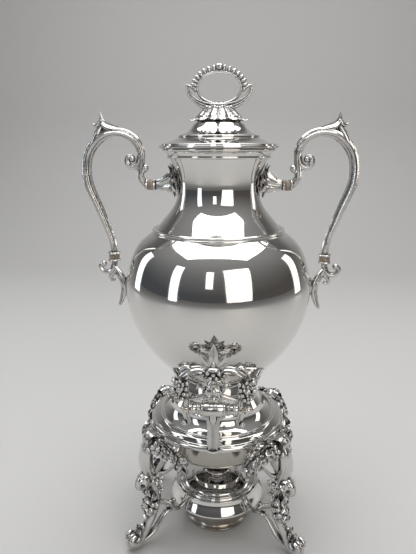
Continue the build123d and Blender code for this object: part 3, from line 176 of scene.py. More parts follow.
class Paint:
    """Node tree of a material or of the world."""

    def __init__(self, holder, shader="Principled BSDF"):
        if isinstance(holder, str):
            holder = bpy.data.materials.new(holder)
            holder.use_nodes = True
        self.holder = holder
        self.tree = holder.node_tree
        self.shader = self.tree.nodes[shader]

    def plug(self, socket, value):
        """Gives a socket a value, or links another socket to it."""
        if isinstance(value, Value):
            self.tree.links.new(value.socket, socket)
        elif socket.type == "RGBA" and len(value) == 3:
            socket.default_value = (*value, 1)
        else:
            socket.default_value = value

    def node(self, kind, settings=None, inputs=(), output=0):
        """Adds a node: its settings first, then its sockets by place or by name."""
        node = self.tree.nodes.new(kind)
        for key, value in (settings or {}).items():
            if key == "stops":
                for stop, (position, level) in zip(node.color_ramp.elements, value):
                    stop.position, stop.color = position, (level, level, level, 1)
            else:
                setattr(node, key, value)
        pairs = inputs.items() if isinstance(inputs, dict) else enumerate(inputs)
        for key, value in pairs:
            self.plug(node.inputs[key], value)
        return Value(self, node.outputs[output])

    def place(self):
        """Object coordinates of the piece."""
        return self.node("ShaderNodeTexCoord", output="Object")

    def stretched(self, scale, turn=(0, 0, 0)):
        """Object coordinates scaled and turned for a pattern."""
        return self.node("ShaderNodeMapping", {}, {"Vector": self.place(), "Scale": scale, "Rotation": turn})

    def noise(self, scale, detail=3, where=None, roughness=0.5):
        """Noise from 0 to 1."""
        where = where or self.place()
        return self.node(
            "ShaderNodeTexNoise", {},
            {"Vector": where, "Scale": scale, "Detail": detail, "Roughness": roughness},
        )

    def ramp(self, value, stops):
        """Value through a ramp of grey stops."""
        return self.node("ShaderNodeValToRGB", {"stops": stops}, [value])

    def colours(self, first, second, factor):
        """Two colours mixed by a factor."""
        node = self.tree.nodes.new("ShaderNodeMix")
        node.data_type = "RGBA"
        self.plug(node.inputs["Factor"], factor)
        self.plug(node.inputs[MIX_FIRST], first)
        self.plug(node.inputs[MIX_SECOND], second)
        return Value(self, node.outputs[MIX_RESULT])

    def bump(self, height, strength, distance):
        """Normal from a height."""
        return self.node(
            "ShaderNodeBump", {}, {"Strength": strength, "Distance": distance, "Height": height},
        )

    def set(self, **values):
        """Sets the shader's own sockets; an underscore stands for a space."""
        for key, value in values.items():
            self.plug(self.shader.inputs[key.replace("_", " ")], value)
        return self.holder


def hairlines(paint, scale):
    """Fine polishing lines in three directions."""
    first = paint.noise(scale, 2, paint.stretched((1, 1, 26), (0.3, 0.2, 0.4)))
    second = paint.noise(scale * 1.3, 2, paint.stretched((22, 1, 1), (0.7, 1.1, 0.2)))
    third = paint.noise(scale * 0.8, 2, paint.stretched((1, 24, 1), (1.3, 0.5, 0.9)))
    third_part = 0.333
    return (first + second + third) * third_part


def polished_silver(name, colour, tarnish, smooth_low=0.035, smooth_high=0.13, film=0.16):
    """Mirror-polished plate: faint dents, fine lines, smudges and a little warm film."""
    paint = Paint(name)
    smudge = paint.ramp(paint.noise(38, 5, roughness=0.62), [(0.42, 0), (0.72, 1)])
    lines = hairlines(paint, 210)
    worn = paint.ramp(lines, [(0.5, 0), (0.66, 1)])
    rough = smooth_low + (smooth_high - smooth_low) * (smudge * 0.55 + worn * 0.45)
    film_mask = paint.ramp(paint.noise(16, 6, roughness=0.7), [(0.46, 0), (0.78, 1)]) * film
    dents = paint.noise(24, 2)
    height = lines * 0.05 + dents
    return paint.set(
        Base_Color=paint.colours(colour, tarnish, film_mask),
        Metallic=1.0,
        Roughness=rough,
        Normal=paint.bump(height, strength=0.16, distance=0.0006),
    )


def cast_silver(name, colour, painted_recess_shade, reach):
    """Cast and chased plate: the silver colour on the ridges, and painted shade in the hollows, where an
    occlusion mask darkens the colour and dulls the metal.
    """
    paint = Paint(name)
    open_air = paint.node(
        "ShaderNodeAmbientOcclusion", {"samples": 8, "only_local": True}, {"Distance": reach}, output="AO",
    )
    patch = paint.ramp(paint.noise(70, 5, roughness=0.65), [(0.35, 0.0), (0.75, 1.0)])
    # Painted shade: where little open air reaches, the colour goes towards the dark recess colour and the metal
    # turns dull
    hollow = paint.ramp(open_air + patch * 0.06, [(0.56, 1), (0.95, 0)])
    dark = hollow * 0.96
    grain = paint.noise(420, 4, roughness=0.6)
    chasing = paint.noise(240, 3, roughness=0.7)
    return paint.set(
        Base_Color=paint.colours(colour, painted_recess_shade, dark),
        Metallic=1.0 - dark * 0.55,
        Roughness=0.07 + dark * 0.42 + patch * 0.06,
        Normal=paint.bump(grain * 0.3 + chasing + paint.noise(130, 3) * 0.6, strength=0.42, distance=0.0005),
    )


def plain_metal(name, colour, rough, grain_scale):
    """Turned metal of the hidden fastenings, with fine lathe lines and a dull patch or two."""
    paint = Paint(name)
    lines = paint.noise(grain_scale, 2, paint.stretched((1, 1, 18)))
    patch = paint.noise(60, 4)
    shade = tuple(part * 0.62 for part in colour)
    return paint.set(
        Base_Color=paint.colours(colour, shade, paint.ramp(patch, [(0.45, 0), (0.8, 1)])),
        Metallic=1.0,
        Roughness=rough + lines * 0.12,
        Normal=paint.bump(lines, strength=0.2, distance=0.0002),
    )


def horn(name, colour):
    """Aged horn with darker streaks, pores and a soft polish."""
    paint = Paint(name)
    streaks = paint.noise(160, 5, paint.stretched((3.5, 1, 1)), 0.6)
    pores = paint.ramp(paint.noise(900, 2), [(0.62, 0), (0.72, 1)])
    dark = tuple(part * 0.36 for part in colour)
    pale = tuple(min(1, part * 1.5) for part in colour)
    body = paint.colours(pale, dark, paint.ramp(streaks, [(0.3, 0), (0.7, 1)]))
    return paint.set(
        Base_Color=paint.colours(body, dark, pores * 0.6),
        Roughness=0.28 + streaks * 0.2,
        Normal=paint.bump(streaks - pores * 0.5, strength=0.25, distance=0.0002),
    )


def oiled_leather(name):
    """Dark gasket leather with its grain."""
    paint = Paint(name)
    grain = paint.node("ShaderNodeTexVoronoi", {}, {"Vector": paint.place(), "Scale": 1400.0})
    tone = paint.noise(180, 4)
    return paint.set(
        Base_Color=paint.colours((0.16, 0.10, 0.06), (0.07, 0.04, 0.025), tone),
        Roughness=0.5 + grain * 0.3,
        Normal=paint.bump(grain, strength=0.5, distance=0.0002),
    )


def woven_cotton(name):
    """Cotton wick: a plaited weave, charred towards its top."""
    paint = Paint(name)
    weave = paint.node(
        "ShaderNodeTexWave", {"wave_type": "BANDS", "bands_direction": "DIAGONAL"},
        {"Vector": paint.place(), "Scale": 420.0, "Distortion": 2.0},
        output="Fac",
    )
    char_start, char_end = 0.0425, 0.0465
    height = paint.node("ShaderNodeSeparateXYZ", {}, [paint.place()], output="Z")
    char = paint.node(
        "ShaderNodeMapRange", {"clamp": True},
        {"Value": height, "From Min": char_start, "From Max": char_end},
    )
    clean = paint.colours((0.74, 0.69, 0.58), (0.50, 0.44, 0.34), weave)
    return paint.set(
        Base_Color=paint.colours(clean, (0.035, 0.03, 0.028), char),
        Roughness=0.9,
        Normal=paint.bump(weave, strength=0.7, distance=0.0003),
    )


def pale_floor(name, colour):
    """Plain matt floor."""
    paint = Paint(name)
    tone = paint.noise(3, 2)
    shade = tuple(part * 0.985 for part in colour)
    return paint.set(Base_Color=paint.colours(colour, shade, tone), Roughness=0.62)


def finishes():
    """All finishes by name, made once."""
    made = finishes.made
    if not made:
        tone = finish_colours()
        silver, painted_recess_shade, tarnish = tuple(tone.silver), tuple(tone.painted_recess_shade), tuple(tone.tarnish)
        made["plate"] = polished_silver("polished_plate", silver, tarnish)
        made["trim"] = polished_silver("polished_trim", silver, tarnish, 0.05, 0.17, 0.24)
        # Inner plate: painted shade, a darker and duller copy of the polished plate for the apron, lid skirt and
        # lamp bowl, which sit in shade; its heavy brown film is tarnish
        dull, brown = (0.50, 0.475, 0.44), (0.26, 0.21, 0.16)
        made["inner"] = polished_silver("inner_plate", dull, brown, 0.16, 0.34, 0.8)
        worn = tuple(part * 0.9 for part in silver)
        # The castings get painted shade in their hollows from the recess colour
        made["cast"] = cast_silver("cast_plate", worn, painted_recess_shade, 0.0050)
        made["chased"] = cast_silver("chased_plate", worn, painted_recess_shade, 0.0038)
        made["steel"] = plain_metal("plain_steel", (0.56, 0.56, 0.57), 0.24, 700)
        made["brass"] = plain_metal("turned_brass", (0.70, 0.52, 0.27), 0.22, 600)
        made["horn"] = horn("aged_horn", tuple(tone.horn))
        made["leather"] = oiled_leather("gasket_leather")
        made["wick"] = woven_cotton("cotton_wick")
        made["floor"] = pale_floor("pale_floor", tuple(tone.floor))
    return made


finishes.made = {}


# Modelling helpers

def deselect():
    """Leaves nothing selected."""
    for obj in bpy.context.selected_objects:
        obj.select_set(False)


def take(*objs):
    """Selects these objects alone and makes the first one active."""
    deselect()
    for obj in objs:
        obj.select_set(True)
    bpy.context.view_layer.objects.active = objs[0]


def edited(obj, *steps):
    """Runs mesh operators on the whole of an object in edit mode."""
    take(obj)
    bpy.ops.object.mode_set(mode="EDIT")
    bpy.ops.mesh.select_all(action="SELECT")
    for operator, settings in steps:
        getattr(bpy.ops.mesh, operator)(**settings)
    bpy.ops.object.mode_set(mode="OBJECT")


def tidy_mesh(obj, angle=SMOOTH_ANGLE):
    """Merges doubles, turns the faces outwards and smooths all but the sharp edges."""
    edited(obj, ("remove_doubles", {"threshold": MERGE_DISTANCE}), ("normals_make_consistent", {"inside": False}))
    bpy.ops.object.shade_smooth_by_angle(angle=radians(angle))
    return obj


def smooth_line(points, spacing):
    """Points along a smooth curve through the given ones: a natural cubic spline."""
    points = [Vector(point) for point in points]
    count = len(points)
    spans = [(after - before).length for before, after in zip(points, points[1:])]
    bends = [point * 0 for point in points]
    weights = [0.0] * count
    for i in range(1, count - 1):
        base = 2 * (spans[i - 1] + spans[i]) - spans[i - 1] * weights[i - 1]
        weights[i] = spans[i] / base
        slope = 6 * ((points[i + 1] - points[i]) / spans[i] - (points[i] - points[i - 1]) / spans[i - 1])
        bends[i] = (slope - spans[i - 1] * bends[i - 1]) / base
    for i in range(count - 2, 0, -1):
        bends[i] = bends[i] - weights[i] * bends[i + 1]
    line = []
    for i in range(count - 1):
        span = spans[i]
        steps = max(2, int(round(span / spacing)))
        for step in range(steps):
            ahead = span * step / steps
            back = span - ahead
            line.append(
                bends[i] * back ** 3 / (6 * span)
                + bends[i + 1] * ahead ** 3 / (6 * span)
                + (points[i] / span - bends[i] * span / 6) * back
                + (points[i + 1] / span - bends[i + 1] * span / 6) * ahead
            )
    line.append(points[-1])
    return line


def along(values, share):
    """Value at a share of the way along a list."""
    place = share * (len(values) - 1)
    index = min(int(place), len(values) - 2)
    return values[index] + (values[index + 1] - values[index]) * (place - index)


def outline_curve(points, spacing):
    """Smooth outline of radius and height."""
    return [(point.x, point.y) for point in smooth_line([(r, z, 0) for r, z in points], spacing)]


def inset(outline, distance):
    """Outline moved towards the axis by a wall's thickness."""
    moved = []
    for index, (radius, height) in enumerate(outline):
        before = outline[max(index - 1, 0)]
        after = outline[min(index + 1, len(outline) - 1)]
        run, rise = after[0] - before[0], after[1] - before[1]
        length = hypot(run, rise)
        moved.append((radius - distance * rise / length, height + distance * run / length))
    return moved


def round_edge(centre, radius, start, end, steps):
    """Arc of an outline about a centre, from one angle to another in degrees."""
    turn = [radians(start + (end - start) * step / steps) for step in range(steps + 1)]
    return [(centre[0] + radius * cos(angle), centre[1] + radius * sin(angle)) for angle in turn]


def turned(name, outline, steps=None, matrix=None):
    """Spins a closed outline of radius and height about the axis."""
    deselect()
    bpy.ops.mesh.primitive_circle_add(vertices=len(outline), radius=0.01)
    obj = bpy.context.object
    obj.name = name
    for vertex, (radius, height) in zip(obj.data.vertices, outline):
        vertex.co = (radius * MM, 0, height * MM)
    steps = steps or sizes().spin_steps
    edited(obj, ("spin", {"steps": steps, "angle": 2 * pi, "center": (0, 0, 0), "axis": (0, 0, 1)}))
    tidy_mesh(obj)
    if matrix is not None:
        obj.data.transform(matrix)
    return obj


def placed(x, y, z, turn_x=0, turn_y=0, turn_z=0):
    """Matrix that turns a piece in degrees and then moves it in millimetres."""
    turn = Matrix.Rotation(radians(turn_z), 4, "Z") @ Matrix.Rotation(radians(turn_y), 4, "Y")
    turn = turn @ Matrix.Rotation(radians(turn_x), 4, "X")
    return Matrix.Translation((x * MM, y * MM, z * MM)) @ turn


def ring_section(ridges=0, depth=0.0, corners=ROUND_CORNERS, sharp=1.0):
    """Round section of a bar, with ridges round it where wanted."""
    corners = max(corners, ridges * 6)
    section = []
    for index in range(corners):
        angle = 2 * pi * index / corners
        hollow = (0.5 - 0.5 * cos(ridges * angle)) ** sharp if ridges else 0
        size = 1 - depth * hollow
        section.append((size * cos(angle), size * sin(angle)))
    return section


def leaf_section(veins=2, corners=14):
    """Flat leaf section: a raised midrib, side veins and a thin edge."""
    rib_height, rib_slope, vein_height = 0.55, 5, 0.16
    edge_top, camber_top, edge_under, camber_under = 0.10, 0.42, -0.06, 0.12
    top, under = [], []
    for index in range(corners + 1):
        across = -1 + 2 * index / corners
        camber = 1 - across * across
        rib = max(0, 1 - abs(across) * rib_slope) * rib_height
        vein = vein_height * cos(across * pi * (veins + 0.5)) * (1 - abs(across))
        top.append((across, edge_top + camber * camber_top + rib + vein))
        under.append((across, edge_under - camber * camber_under))
    return top + under[::-1]


def swept(name, points, widths, depths, spacing, section=None, side=(0, 1, 0), blunt=True, wave=None):
    """Bar or leaf: a grid wrapped round a smooth line, closed to a pole at each end.

    A wave notches the edge: it holds the number of lobes and the depth of the notches.
    """
    section = section or ring_section()
    line = smooth_line(points, spacing)
    lengths = [0.0]
    for before, after in zip(line, line[1:]):
        lengths.append(lengths[-1] + (after - before).length)
    total = lengths[-1]
    rows = []
    for index, spot in enumerate(line):
        before, after = line[max(index - 1, 0)], line[min(index + 1, len(line) - 1)]
        ahead = (after - before).normalized()
        across = Vector(side)
        across = (across - ahead * across.dot(ahead)).normalized()
        share = lengths[index] / total
        width = along(widths, share)
        if wave:
            lobes, notch = wave
            width *= 1 - notch * abs(sin(pi * lobes * share)) ** LOBE_ROUNDNESS
        rows.append((spot, ahead, across, ahead.cross(across), width, along(depths, share)))
    ends = []
    for row, way in ((rows[0], -1), (rows[-1], 1)):
        spot, ahead, across, up, width, depth = row
        reach = min(width, depth) * (BLUNT_REACH if blunt else POINTED_REACH)
        caps = [
            (spot + ahead * way * reach * sin(turn), ahead, across, up, width * cos(turn), depth * cos(turn))
            for turn in END_TURNS
        ]
        ends.append(caps)
    rows = ends[0][::-1] + rows + ends[1]
    around = len(section)
    deselect()
    bpy.ops.mesh.primitive_grid_add(x_subdivisions=around, y_subdivisions=len(rows) - 1, size=1)
    obj = bpy.context.object
    obj.name = name
    for vertex in obj.data.vertices:
        column = int(round((vertex.co.x + 0.5) * around)) % around
        row = int(round((vertex.co.y + 0.5) * (len(rows) - 1)))
        spot, ahead, across, up, width, depth = rows[row]
        u, v = section[column]
        vertex.co = (spot + across * (u * width) + up * (v * depth)) * MM
    return tidy_mesh(obj, BAR_SMOOTH_ANGLE)


def ball(name, centre, radius, squash=(1, 1, 1), segments=12, rings=8, turn=None):
    """Small bead, berry or petal."""
    deselect()
    bpy.ops.mesh.primitive_uv_sphere_add(segments=segments, ring_count=rings, radius=radius * MM)
    obj = bpy.context.object
    obj.name = name
    obj.data.transform(Matrix.Diagonal((*squash, 1)))
    if turn is not None:
        obj.data.transform(turn)
    obj.data.transform(Matrix.Translation(Vector(centre) * MM))
    bpy.ops.object.shade_smooth()
    return obj


def joined(name, pieces):
    """One object made of several meshes."""
    take(*pieces)
    bpy.ops.object.join()
    obj = bpy.context.object
    obj.name = name
    return obj


def copied(name, obj, matrix):
    """Copy of a piece with its own mesh, moved by a matrix; a mirrored one is turned outwards again."""
    take(obj)
    bpy.ops.object.duplicate(linked=False)
    twin = bpy.context.object
    twin.name = name
    twin.data.transform(matrix)
    if matrix.determinant() < 0:
        edited(twin, ("flip_normals", {}))
    return twin


def fit(obj, finish, body, *nodes, slot):
    """Gives a finished piece its finish, its body and the nodes that it stands for."""
    obj.data.materials.clear()
    obj.data.materials.append(finishes()[finish])
    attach(obj, body)
    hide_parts(*nodes)


def dress(node, finish):
    """Gives a node that stays its finish."""
    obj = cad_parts[node]
    obj.data.materials.clear()
    obj.data.materials.append(finishes()[finish])


class Casting:
    """Bars, leaves, beads and flowers in millimetres, joined into one mesh at the end."""

    def __init__(self, origin=(0, 0, 0)):
        self.origin = origin
        self.flip = [1, 1, 1]
        self.pieces = []

    def both(self, axis):
        """Goes round twice: what is added the second time is mirrored along an axis."""
        for hand in (1, -1):
            self.flip[axis] = hand
            yield hand
        self.flip[axis] = 1

    def way(self, direction):
        """Direction, mirrored where the casting is."""
        return [part * sign for part, sign in zip(direction, self.flip)]

    def spot(self, place):
        """Place in the casting, mirrored where it is and counted from its origin."""
        return [base + part for base, part in zip(self.origin, self.way(place))]

    def bar(self, name, rows, spacing, **settings):
        """Bar through rows of place, width and, where it differs, depth."""
        points = [self.spot(row[:3]) for row in rows]
        widths, depths = [row[3] for row in rows], [row[-1] for row in rows]
        self.pieces.append(swept(name, points, widths, depths, spacing, **settings))

    def leaf(self, name, rows, spacing, wave=None, veins=2, corners=14, **settings):
        """Bar with the section of a leaf and a lobed edge."""
        self.bar(name, rows, spacing, section=leaf_section(veins, corners), wave=wave, **settings)

    def ball(self, name, centre, radius, *settings):
        """Bead at a place."""
        self.pieces.append(ball(name, self.spot(centre), radius, *settings))

    def berries(self, spots, radius, seed=0.0):
        """Cluster of berries of slightly different size."""
        for index, spot in enumerate(spots):
            variation = 0.12 * sin(index * 2.3 + seed)
            self.ball("berry", spot, radius * (1 + variation))

    def flower(self, name, centre, facing, radius, petals=6, cup=0.35):
        """Petals round a centre bead, facing one way."""
        pieces = []
        for index in range(petals):
            petal = ball(name, (0, 0, 0), radius * 0.5, (1.15, 0.78, 0.34), 10, 6)
            petal.data.transform(Matrix.Rotation(-cup, 4, "Y"))
            petal.data.transform(Matrix.Translation((radius * 0.55 * MM, 0, radius * 0.12 * MM)))
            petal.data.transform(Matrix.Rotation(2 * pi * index / petals, 4, "Z"))
            pieces.append(petal)
        pieces.append(ball(name, (0, 0, radius * 0.22), radius * 0.3, (1, 1, 0.8), 10, 6))
        turn = Vector((0, 0, 1)).rotation_difference(Vector(self.way(facing))).to_matrix().to_4x4()
        obj = joined(name, pieces)
        obj.data.transform(Matrix.Translation(Vector(self.spot(centre)) * MM) @ turn)
        self.pieces.append(obj)

    def foliage(self, name, points, out, count, size, lift, spread, seed=0.0):
        """Small curled leaves along a smooth line, to the left and right of it by turns."""
        line = smooth_line([self.spot(point) for point in points], FOLIAGE_LINE_SPACING)
        out = Vector(self.way(out)).normalized()
        widths = [size * share for share in (0.22, 0.42, 0.34, 0.08)]
        depths = [size * share for share in (0.16, 0.22, 0.2, 0.08)]
        for index in range(count):
            place = int((index + 0.35) / count * (len(line) - 2))
            ahead = (line[place + 1] - line[place]).normalized()
            face = (out - ahead * out.dot(ahead)).normalized()
            across = ahead.cross(face) * (1 if index % 2 else -1)
            swing = 1 + 0.25 * sin(index * 2.7 + seed)
            foot = line[place] + face * lift * 0.4
            middle = foot + ahead * size * 0.45 + across * size * spread * swing * 0.6 + face * lift
            tip = middle + ahead * size * 0.15 + across * size * spread * 0.55 - face * lift * 0.3
            hook = tip - ahead * size * 0.3 + across * size * 0.12 + face * lift * 0.5
            self.pieces.append(
                swept(name, [foot, middle, tip, hook], widths, depths, FOLIAGE_SPACING, leaf_section(2, 8),
                      face.cross(across), wave=(3, 0.24))
            )

    def join(self, name):
        """The whole casting as one object."""
        return joined(name, self.pieces)


def resized(rows, sizes_there):
    """The places of some rows with other widths and depths."""
    return [(*row[:3], *size) for row, size in zip(rows, sizes_there)]


# Body and stand

def sheet_wall(points, spacing=2.4, floor=0.0):
    """Smooth outline of a spun sheet, up its outside and down its inside, with level ends."""
    outer = outline_curve(points, spacing)
    wall = inset(outer, SHEET)
    wall[0] = (wall[0][0], points[0][1] + floor)
    wall[-1] = (wall[-1][0], points[-1][1])
    return outer + wall[::-1]


def make_bulb():
    """Spun bulb with a flat floor."""
    low = BULB_OUTLINE[0][1]
    outline = [(0, low), *sheet_wall(BULB_OUTLINE, floor=SHEET), (0, low + SHEET)]
    fit(turned("bulb", outline), "plate", "urn", "body_shell", "body_shoulder", slot="silver")


def make_neck():
    """Spun neck, the band over its seam and the moulded rim of the mouth."""
    fit(turned("neck", sheet_wall(NECK_OUTLINE)), "plate", "urn", "neck_shell", slot="silver")
    band = [
        (54.2, 286), (56.6, 286), *round_edge((56.7, 287), 1, -80, 40, 5), (57.1, 288),
        *round_edge((56.5, 289.2), 1.05, -30, 110, 6), (55.4, 290.2), (54.2, 290.2),
    ]
    fit(turned("neck_seam_band", band), "trim", "urn", "neck_band", slot="silver_trim")
    cove = [(43.4, 351.3), (43.9, 352.4), (44.8, 353.6), (45.9, 354.4), (46.6, 354.9)]
    rim = [
        (39.6, 349), *round_edge((43, 350.15), 1.15, -90, 80, 8), *outline_curve(cove, 0.6),
        *round_edge((46.6, 356.05), 1.15, -88, 90, 9), (39.6, 357.2),
    ]
    fit(turned("rim_of_mouth", rim), "trim", "urn", "mouth_rim", slot="silver_trim")


def make_stand():
    """Flared stem and the spun dish with its apron."""
    fit(turned("stem", sheet_wall(STEM_OUTLINE, 1.2)), "plate", "urn", "body_stem", slot="silver")
    cove = [(41.8, 128), (43, 123.6), (45.9, 119.6), (50.7, 116.2)]
    dish = [
        (39.7, 128), *outline_curve(cove, 0.8), *round_edge((52, 116.1), 1.15, 170, -10, 8),
        (53.6, 114.6), (54.3, 113.9), (58.2, 113.1), (58.8, 112.9), (59, 112.3), (61.2, 112.2),
        *round_edge((60.3, 109.5), 2.2, 62, -80, 9),
        (60.9, 106.8), (60.9, 110), (44.6, 110), (44.6, 112.2), (39.7, 125.2),
    ]
    fit(turned("dish", dish), "plate", "urn", "base_dish", slot="silver")
    apron = [(48.8, 110), (50.2, 110), (50.2, 85.8), *round_edge((49.5, 84.5), 1, 60, -240, 12), (48.8, 85.6)]
    fit(turned("apron", apron), "inner", "urn", "base_apron", slot="silver_dark")


# Lid

def make_lid():
    """Stepped lid and its bezel."""
    lower = [(48.3, 360.6), (42.6, 362.1), (38, 363.9), (33.9, 366)]
    upper = [(33.5, 367.6), (28.6, 369.6), (24.4, 372.6), (20.8, 377.05)]
    lid = [
        (49.2, 357.35), *round_edge((50.1, 357.9), 0.5, -90, 0, 4), *round_edge((50, 358.6), 0.6, 0, 90, 5),
        (48.7, 359.2), (48.6, 360.3), *outline_curve(lower, 1), *round_edge((33.6, 366.8), 0.75, -60, 90, 6),
        *outline_curve(upper, 0.9), (2.05, 377.05), (2.05, 375.65), (18, 375.65), (30.9, 366),
        (37.65, 360.5), (37.65, 358.8), (49.2, 358.75),
    ]
    fit(turned("lid_dome", lid), "plate", "lid", "lid_shell", slot="silver")
    bezel = [(37.65, 349.6), (39.05, 349.6), (39.05, 357.45), (45.6, 357.45), (45.6, 358.75), (37.65, 358.75)]
    fit(turned("lid_skirt", bezel), "inner", "lid", "lid_bezel", slot="silver_dark")


def make_cone():
    """Cone with two rows of acanthus leaves, curled outwards at their feet, and a string of beads."""
    low, top, neck, beads = 377.1, 389.65, 9.2, 18
    slope = [(18.6, low), (17.6, 379.4), (13.6, 383.2), (10.6, 386.6), (neck, top)]
    cone = Casting()
    cone.pieces.append(turned("cone_core", [(0, low), *outline_curve(slope, 0.8), (0, top)], 48))
    for reach, first, lift in ((1, 0, 0), (0.9, 22.5, 0.6)):
        for index in range(8):
            cone.leaf("leaf", [
                (10.6, 0, 389.2, 2.4, 1.7), (12.8, 0, 385.2, 4.2, 2.1), (16.4, 0, 381.6, 5.4, 2.1),
                (20.4 * reach, 0, 379.2, 4.6, 1.8), (23.4 * reach, 0, 379.9, 1.2, 0.9),
            ], 0.7, (5, 0.26))
            cone.pieces[-1].data.transform(placed(0, 0, lift, turn_z=first + 45 * index))
    for index in range(beads):
        angle = 2 * pi * index / beads
        cone.ball("bead", (neck * cos(angle), neck * sin(angle), 389), 1.15, (1, 1, 1), 8, 6)
    fit(cone.join("finial_cone"), "chased", "lid", "finial_base", slot="silver_cast")


def make_ring():
    """Openwork ring: a rim, three flutes like a shell, gadroons, two tips and leaves at its foot."""
    ring = Casting((0, 0, RING_CENTRE))
    rim_width, rim_height, steps = 18.1, 12.3, 40
    around = [2 * pi * index / steps - pi / 2 for index in range(steps + 1)]
    rim = [(rim_width * cos(angle), 0, rim_height * sin(angle), 1.9, 1.05) for angle in around]
    ring.bar("rim", rim, 1.0)
    shares = (-1, -0.8, -0.58, -0.34, -0.12, 0.12, 0.34, 0.58, 0.8, 1)
    depths = [0.45, 1.0, 1.15, 1.25, 1.3]
    for offset, size, end in ((1.6, 1.5, 25.6), (3.9, 1.45, 26.8), (6.1, 1.5, 27.4)):
        low, top = -11.3 - offset, 1.2 + offset * 0.25
        widths = [width * 2.6 / 1.8 for width in (0.5, 1.3, 1.6, size + 0.2, size + 0.3)]
        flute = []
        for share, width, depth in zip(shares, widths + widths[::-1], depths + depths[::-1]):
            turn = radians(90 * share)
            x = end * abs(sin(turn)) ** 0.94 * (1 if share > 0 else -1)
            flute.append((x, 0, low + (top - low) * (1 - cos(turn)) ** 1.02, width, depth))
        ring.bar("flute", flute, 1.0)
    row_width, row_height, last = 20.6, 14.9, 14
    bead = sizes().ring_bead / MM
    for index in range(last + 1):
        angle = pi * (0.05 + 0.90 * index / last)
        if index == last // 2:
            ring.ball("top", (0, 0, 16.2), 2.9, (1.15, 0.8, 0.95), 16, 10)
        else:
            place = (row_width * cos(angle), 0, row_height * sin(angle))
            ring.ball("gadroon", place, bead, (1.55, 0.95, 0.80), 14, 10, Matrix.Rotation(-angle, 4, "Y"))
    for hand in ring.both(X):
        ring.bar("tip", [(19.5, 0, -1.5, 1.9, 1.8), (23.6, 0, 1.4, 1.6, 1.2), (27, 0, 2.4, 0.3)], 0.7)
    for x in (-6.8, -3.4, 0, 3.4, 6.8):
        foot = [
            (x * 0.7, 0, -16.55, 1.5, 0.8), (x * 0.9, -1.6, -13.75, 1.7, 0.8), (x * 1.15, -1.2, -10.55, 0.4),
        ]
        for face in ring.both(Y):
            ring.leaf("leaf", foot, 0.6, side=(1, 0, 0))
    fit(ring.join("finial_loop"), "chased", "lid", "finial_ring", slot="silver_cast")


# Handles

def collar(name, centre, axis, length, radius, fat=0.35):
    """Turned collar with rounded edges, along X or along Z."""
    half = length / 2
    edge = min(half, 0.6)
    outline = [
        (0, -half), *round_edge((radius - edge, -half + edge), edge, -90, 0, 4), (radius + fat * 0.3, 0),
        *round_edge((radius - edge, half - edge), edge, 0, 90, 4), (0, half),
    ]
    return turned(name, outline, 48, placed(*centre, turn_y=90 if axis == "X" else 0))


def make_grip():
    """Fluted loop with its elbow curl, beads, horn, beak, spur, leaf and end collars."""
    grip = Casting()
    grip.bar("bar", GRIP_ROWS, 1.6, section=ring_section(ridges=8, depth=0.17, sharp=0.8))
    grip.bar("curl", [
        (67, 0, 350.6, 3.2), (68.8, 0, 344.6, 3.1), (73.6, 0, 341.6, 2.9), (78, 0, 344.6, 2.7),
        (77.6, 0, 349.6, 2.5), (74, 0, 350, 2.3),
    ], 0.9, section=ring_section(6, 0.12))
    grip.ball("curl_eye", (74, 0, 348.4), 2.9, (1, 1.05, 1))
    grip.ball("bead", (63, 0, 340.6), 3.1, (1, 1, 1.12), 20, 14)
    grip.ball("bead_seat", (65.2, 0, 338.2), 2.7, (1.1, 0.95, 0.9), 16, 10)
    horn_rows = [
        (82, 0, 370.6, 2.6, 2), (90, 0, 372.8, 3.6, 2.9), (96.4, 0, 375, 4.2, 3.4), (99.6, 0, 379.4, 3, 2.4),
        (99.8, 0, 386.4, 0.5),
    ]
    grip.leaf("horn", horn_rows, 0.8, veins=1)
    back = ((2.2, 1.9), (3.0, 2.6), (3.3, 2.8), (2.2, 1.8), (0.4, 0.4))
    grip.bar("horn_back", resized(horn_rows, back), 0.8)
    grip.bar("beak", [
        (99.4, 0, 379.4, 2.6, 2), (102, 0, 376.4, 2.8, 2.1), (104.6, 0, 376, 1.9, 1.5),
        (106.4, 0, 377.4, 0.4),
    ], 0.7)
    grip.bar("spur", [
        (108.4, 0, 358.6, 3.4, 3.2), (105.4, 0, 364.4, 3.8, 3.4), (102.6, 0, 369.6, 3.6, 3.2),
        (99.8, 0, 374.4, 2.4, 2.2),
    ], 0.9)
    grip.leaf("leaf", [
        (101, 0, 372.6, 1.6, 1.2), (105.4, 0, 366.6, 3.4, 1.5), (111.2, 0, 358, 3.9, 1.5),
        (115.6, 0, 346.4, 3.2, 1.2), (117, 0, 336, 0.8, 0.5),
    ], 1.0, (4, 0.2))
    grip.pieces.append(collar("grip_top_collar", (61.8, 0, HANDLE_TOP), "X", 1.8, 5.0))
    grip.pieces.append(collar("grip_foot_collar", (HANDLE_FOOT, 0, 266.6), "Z", 1.8, 5.6))
    return grip.join("grip_right")


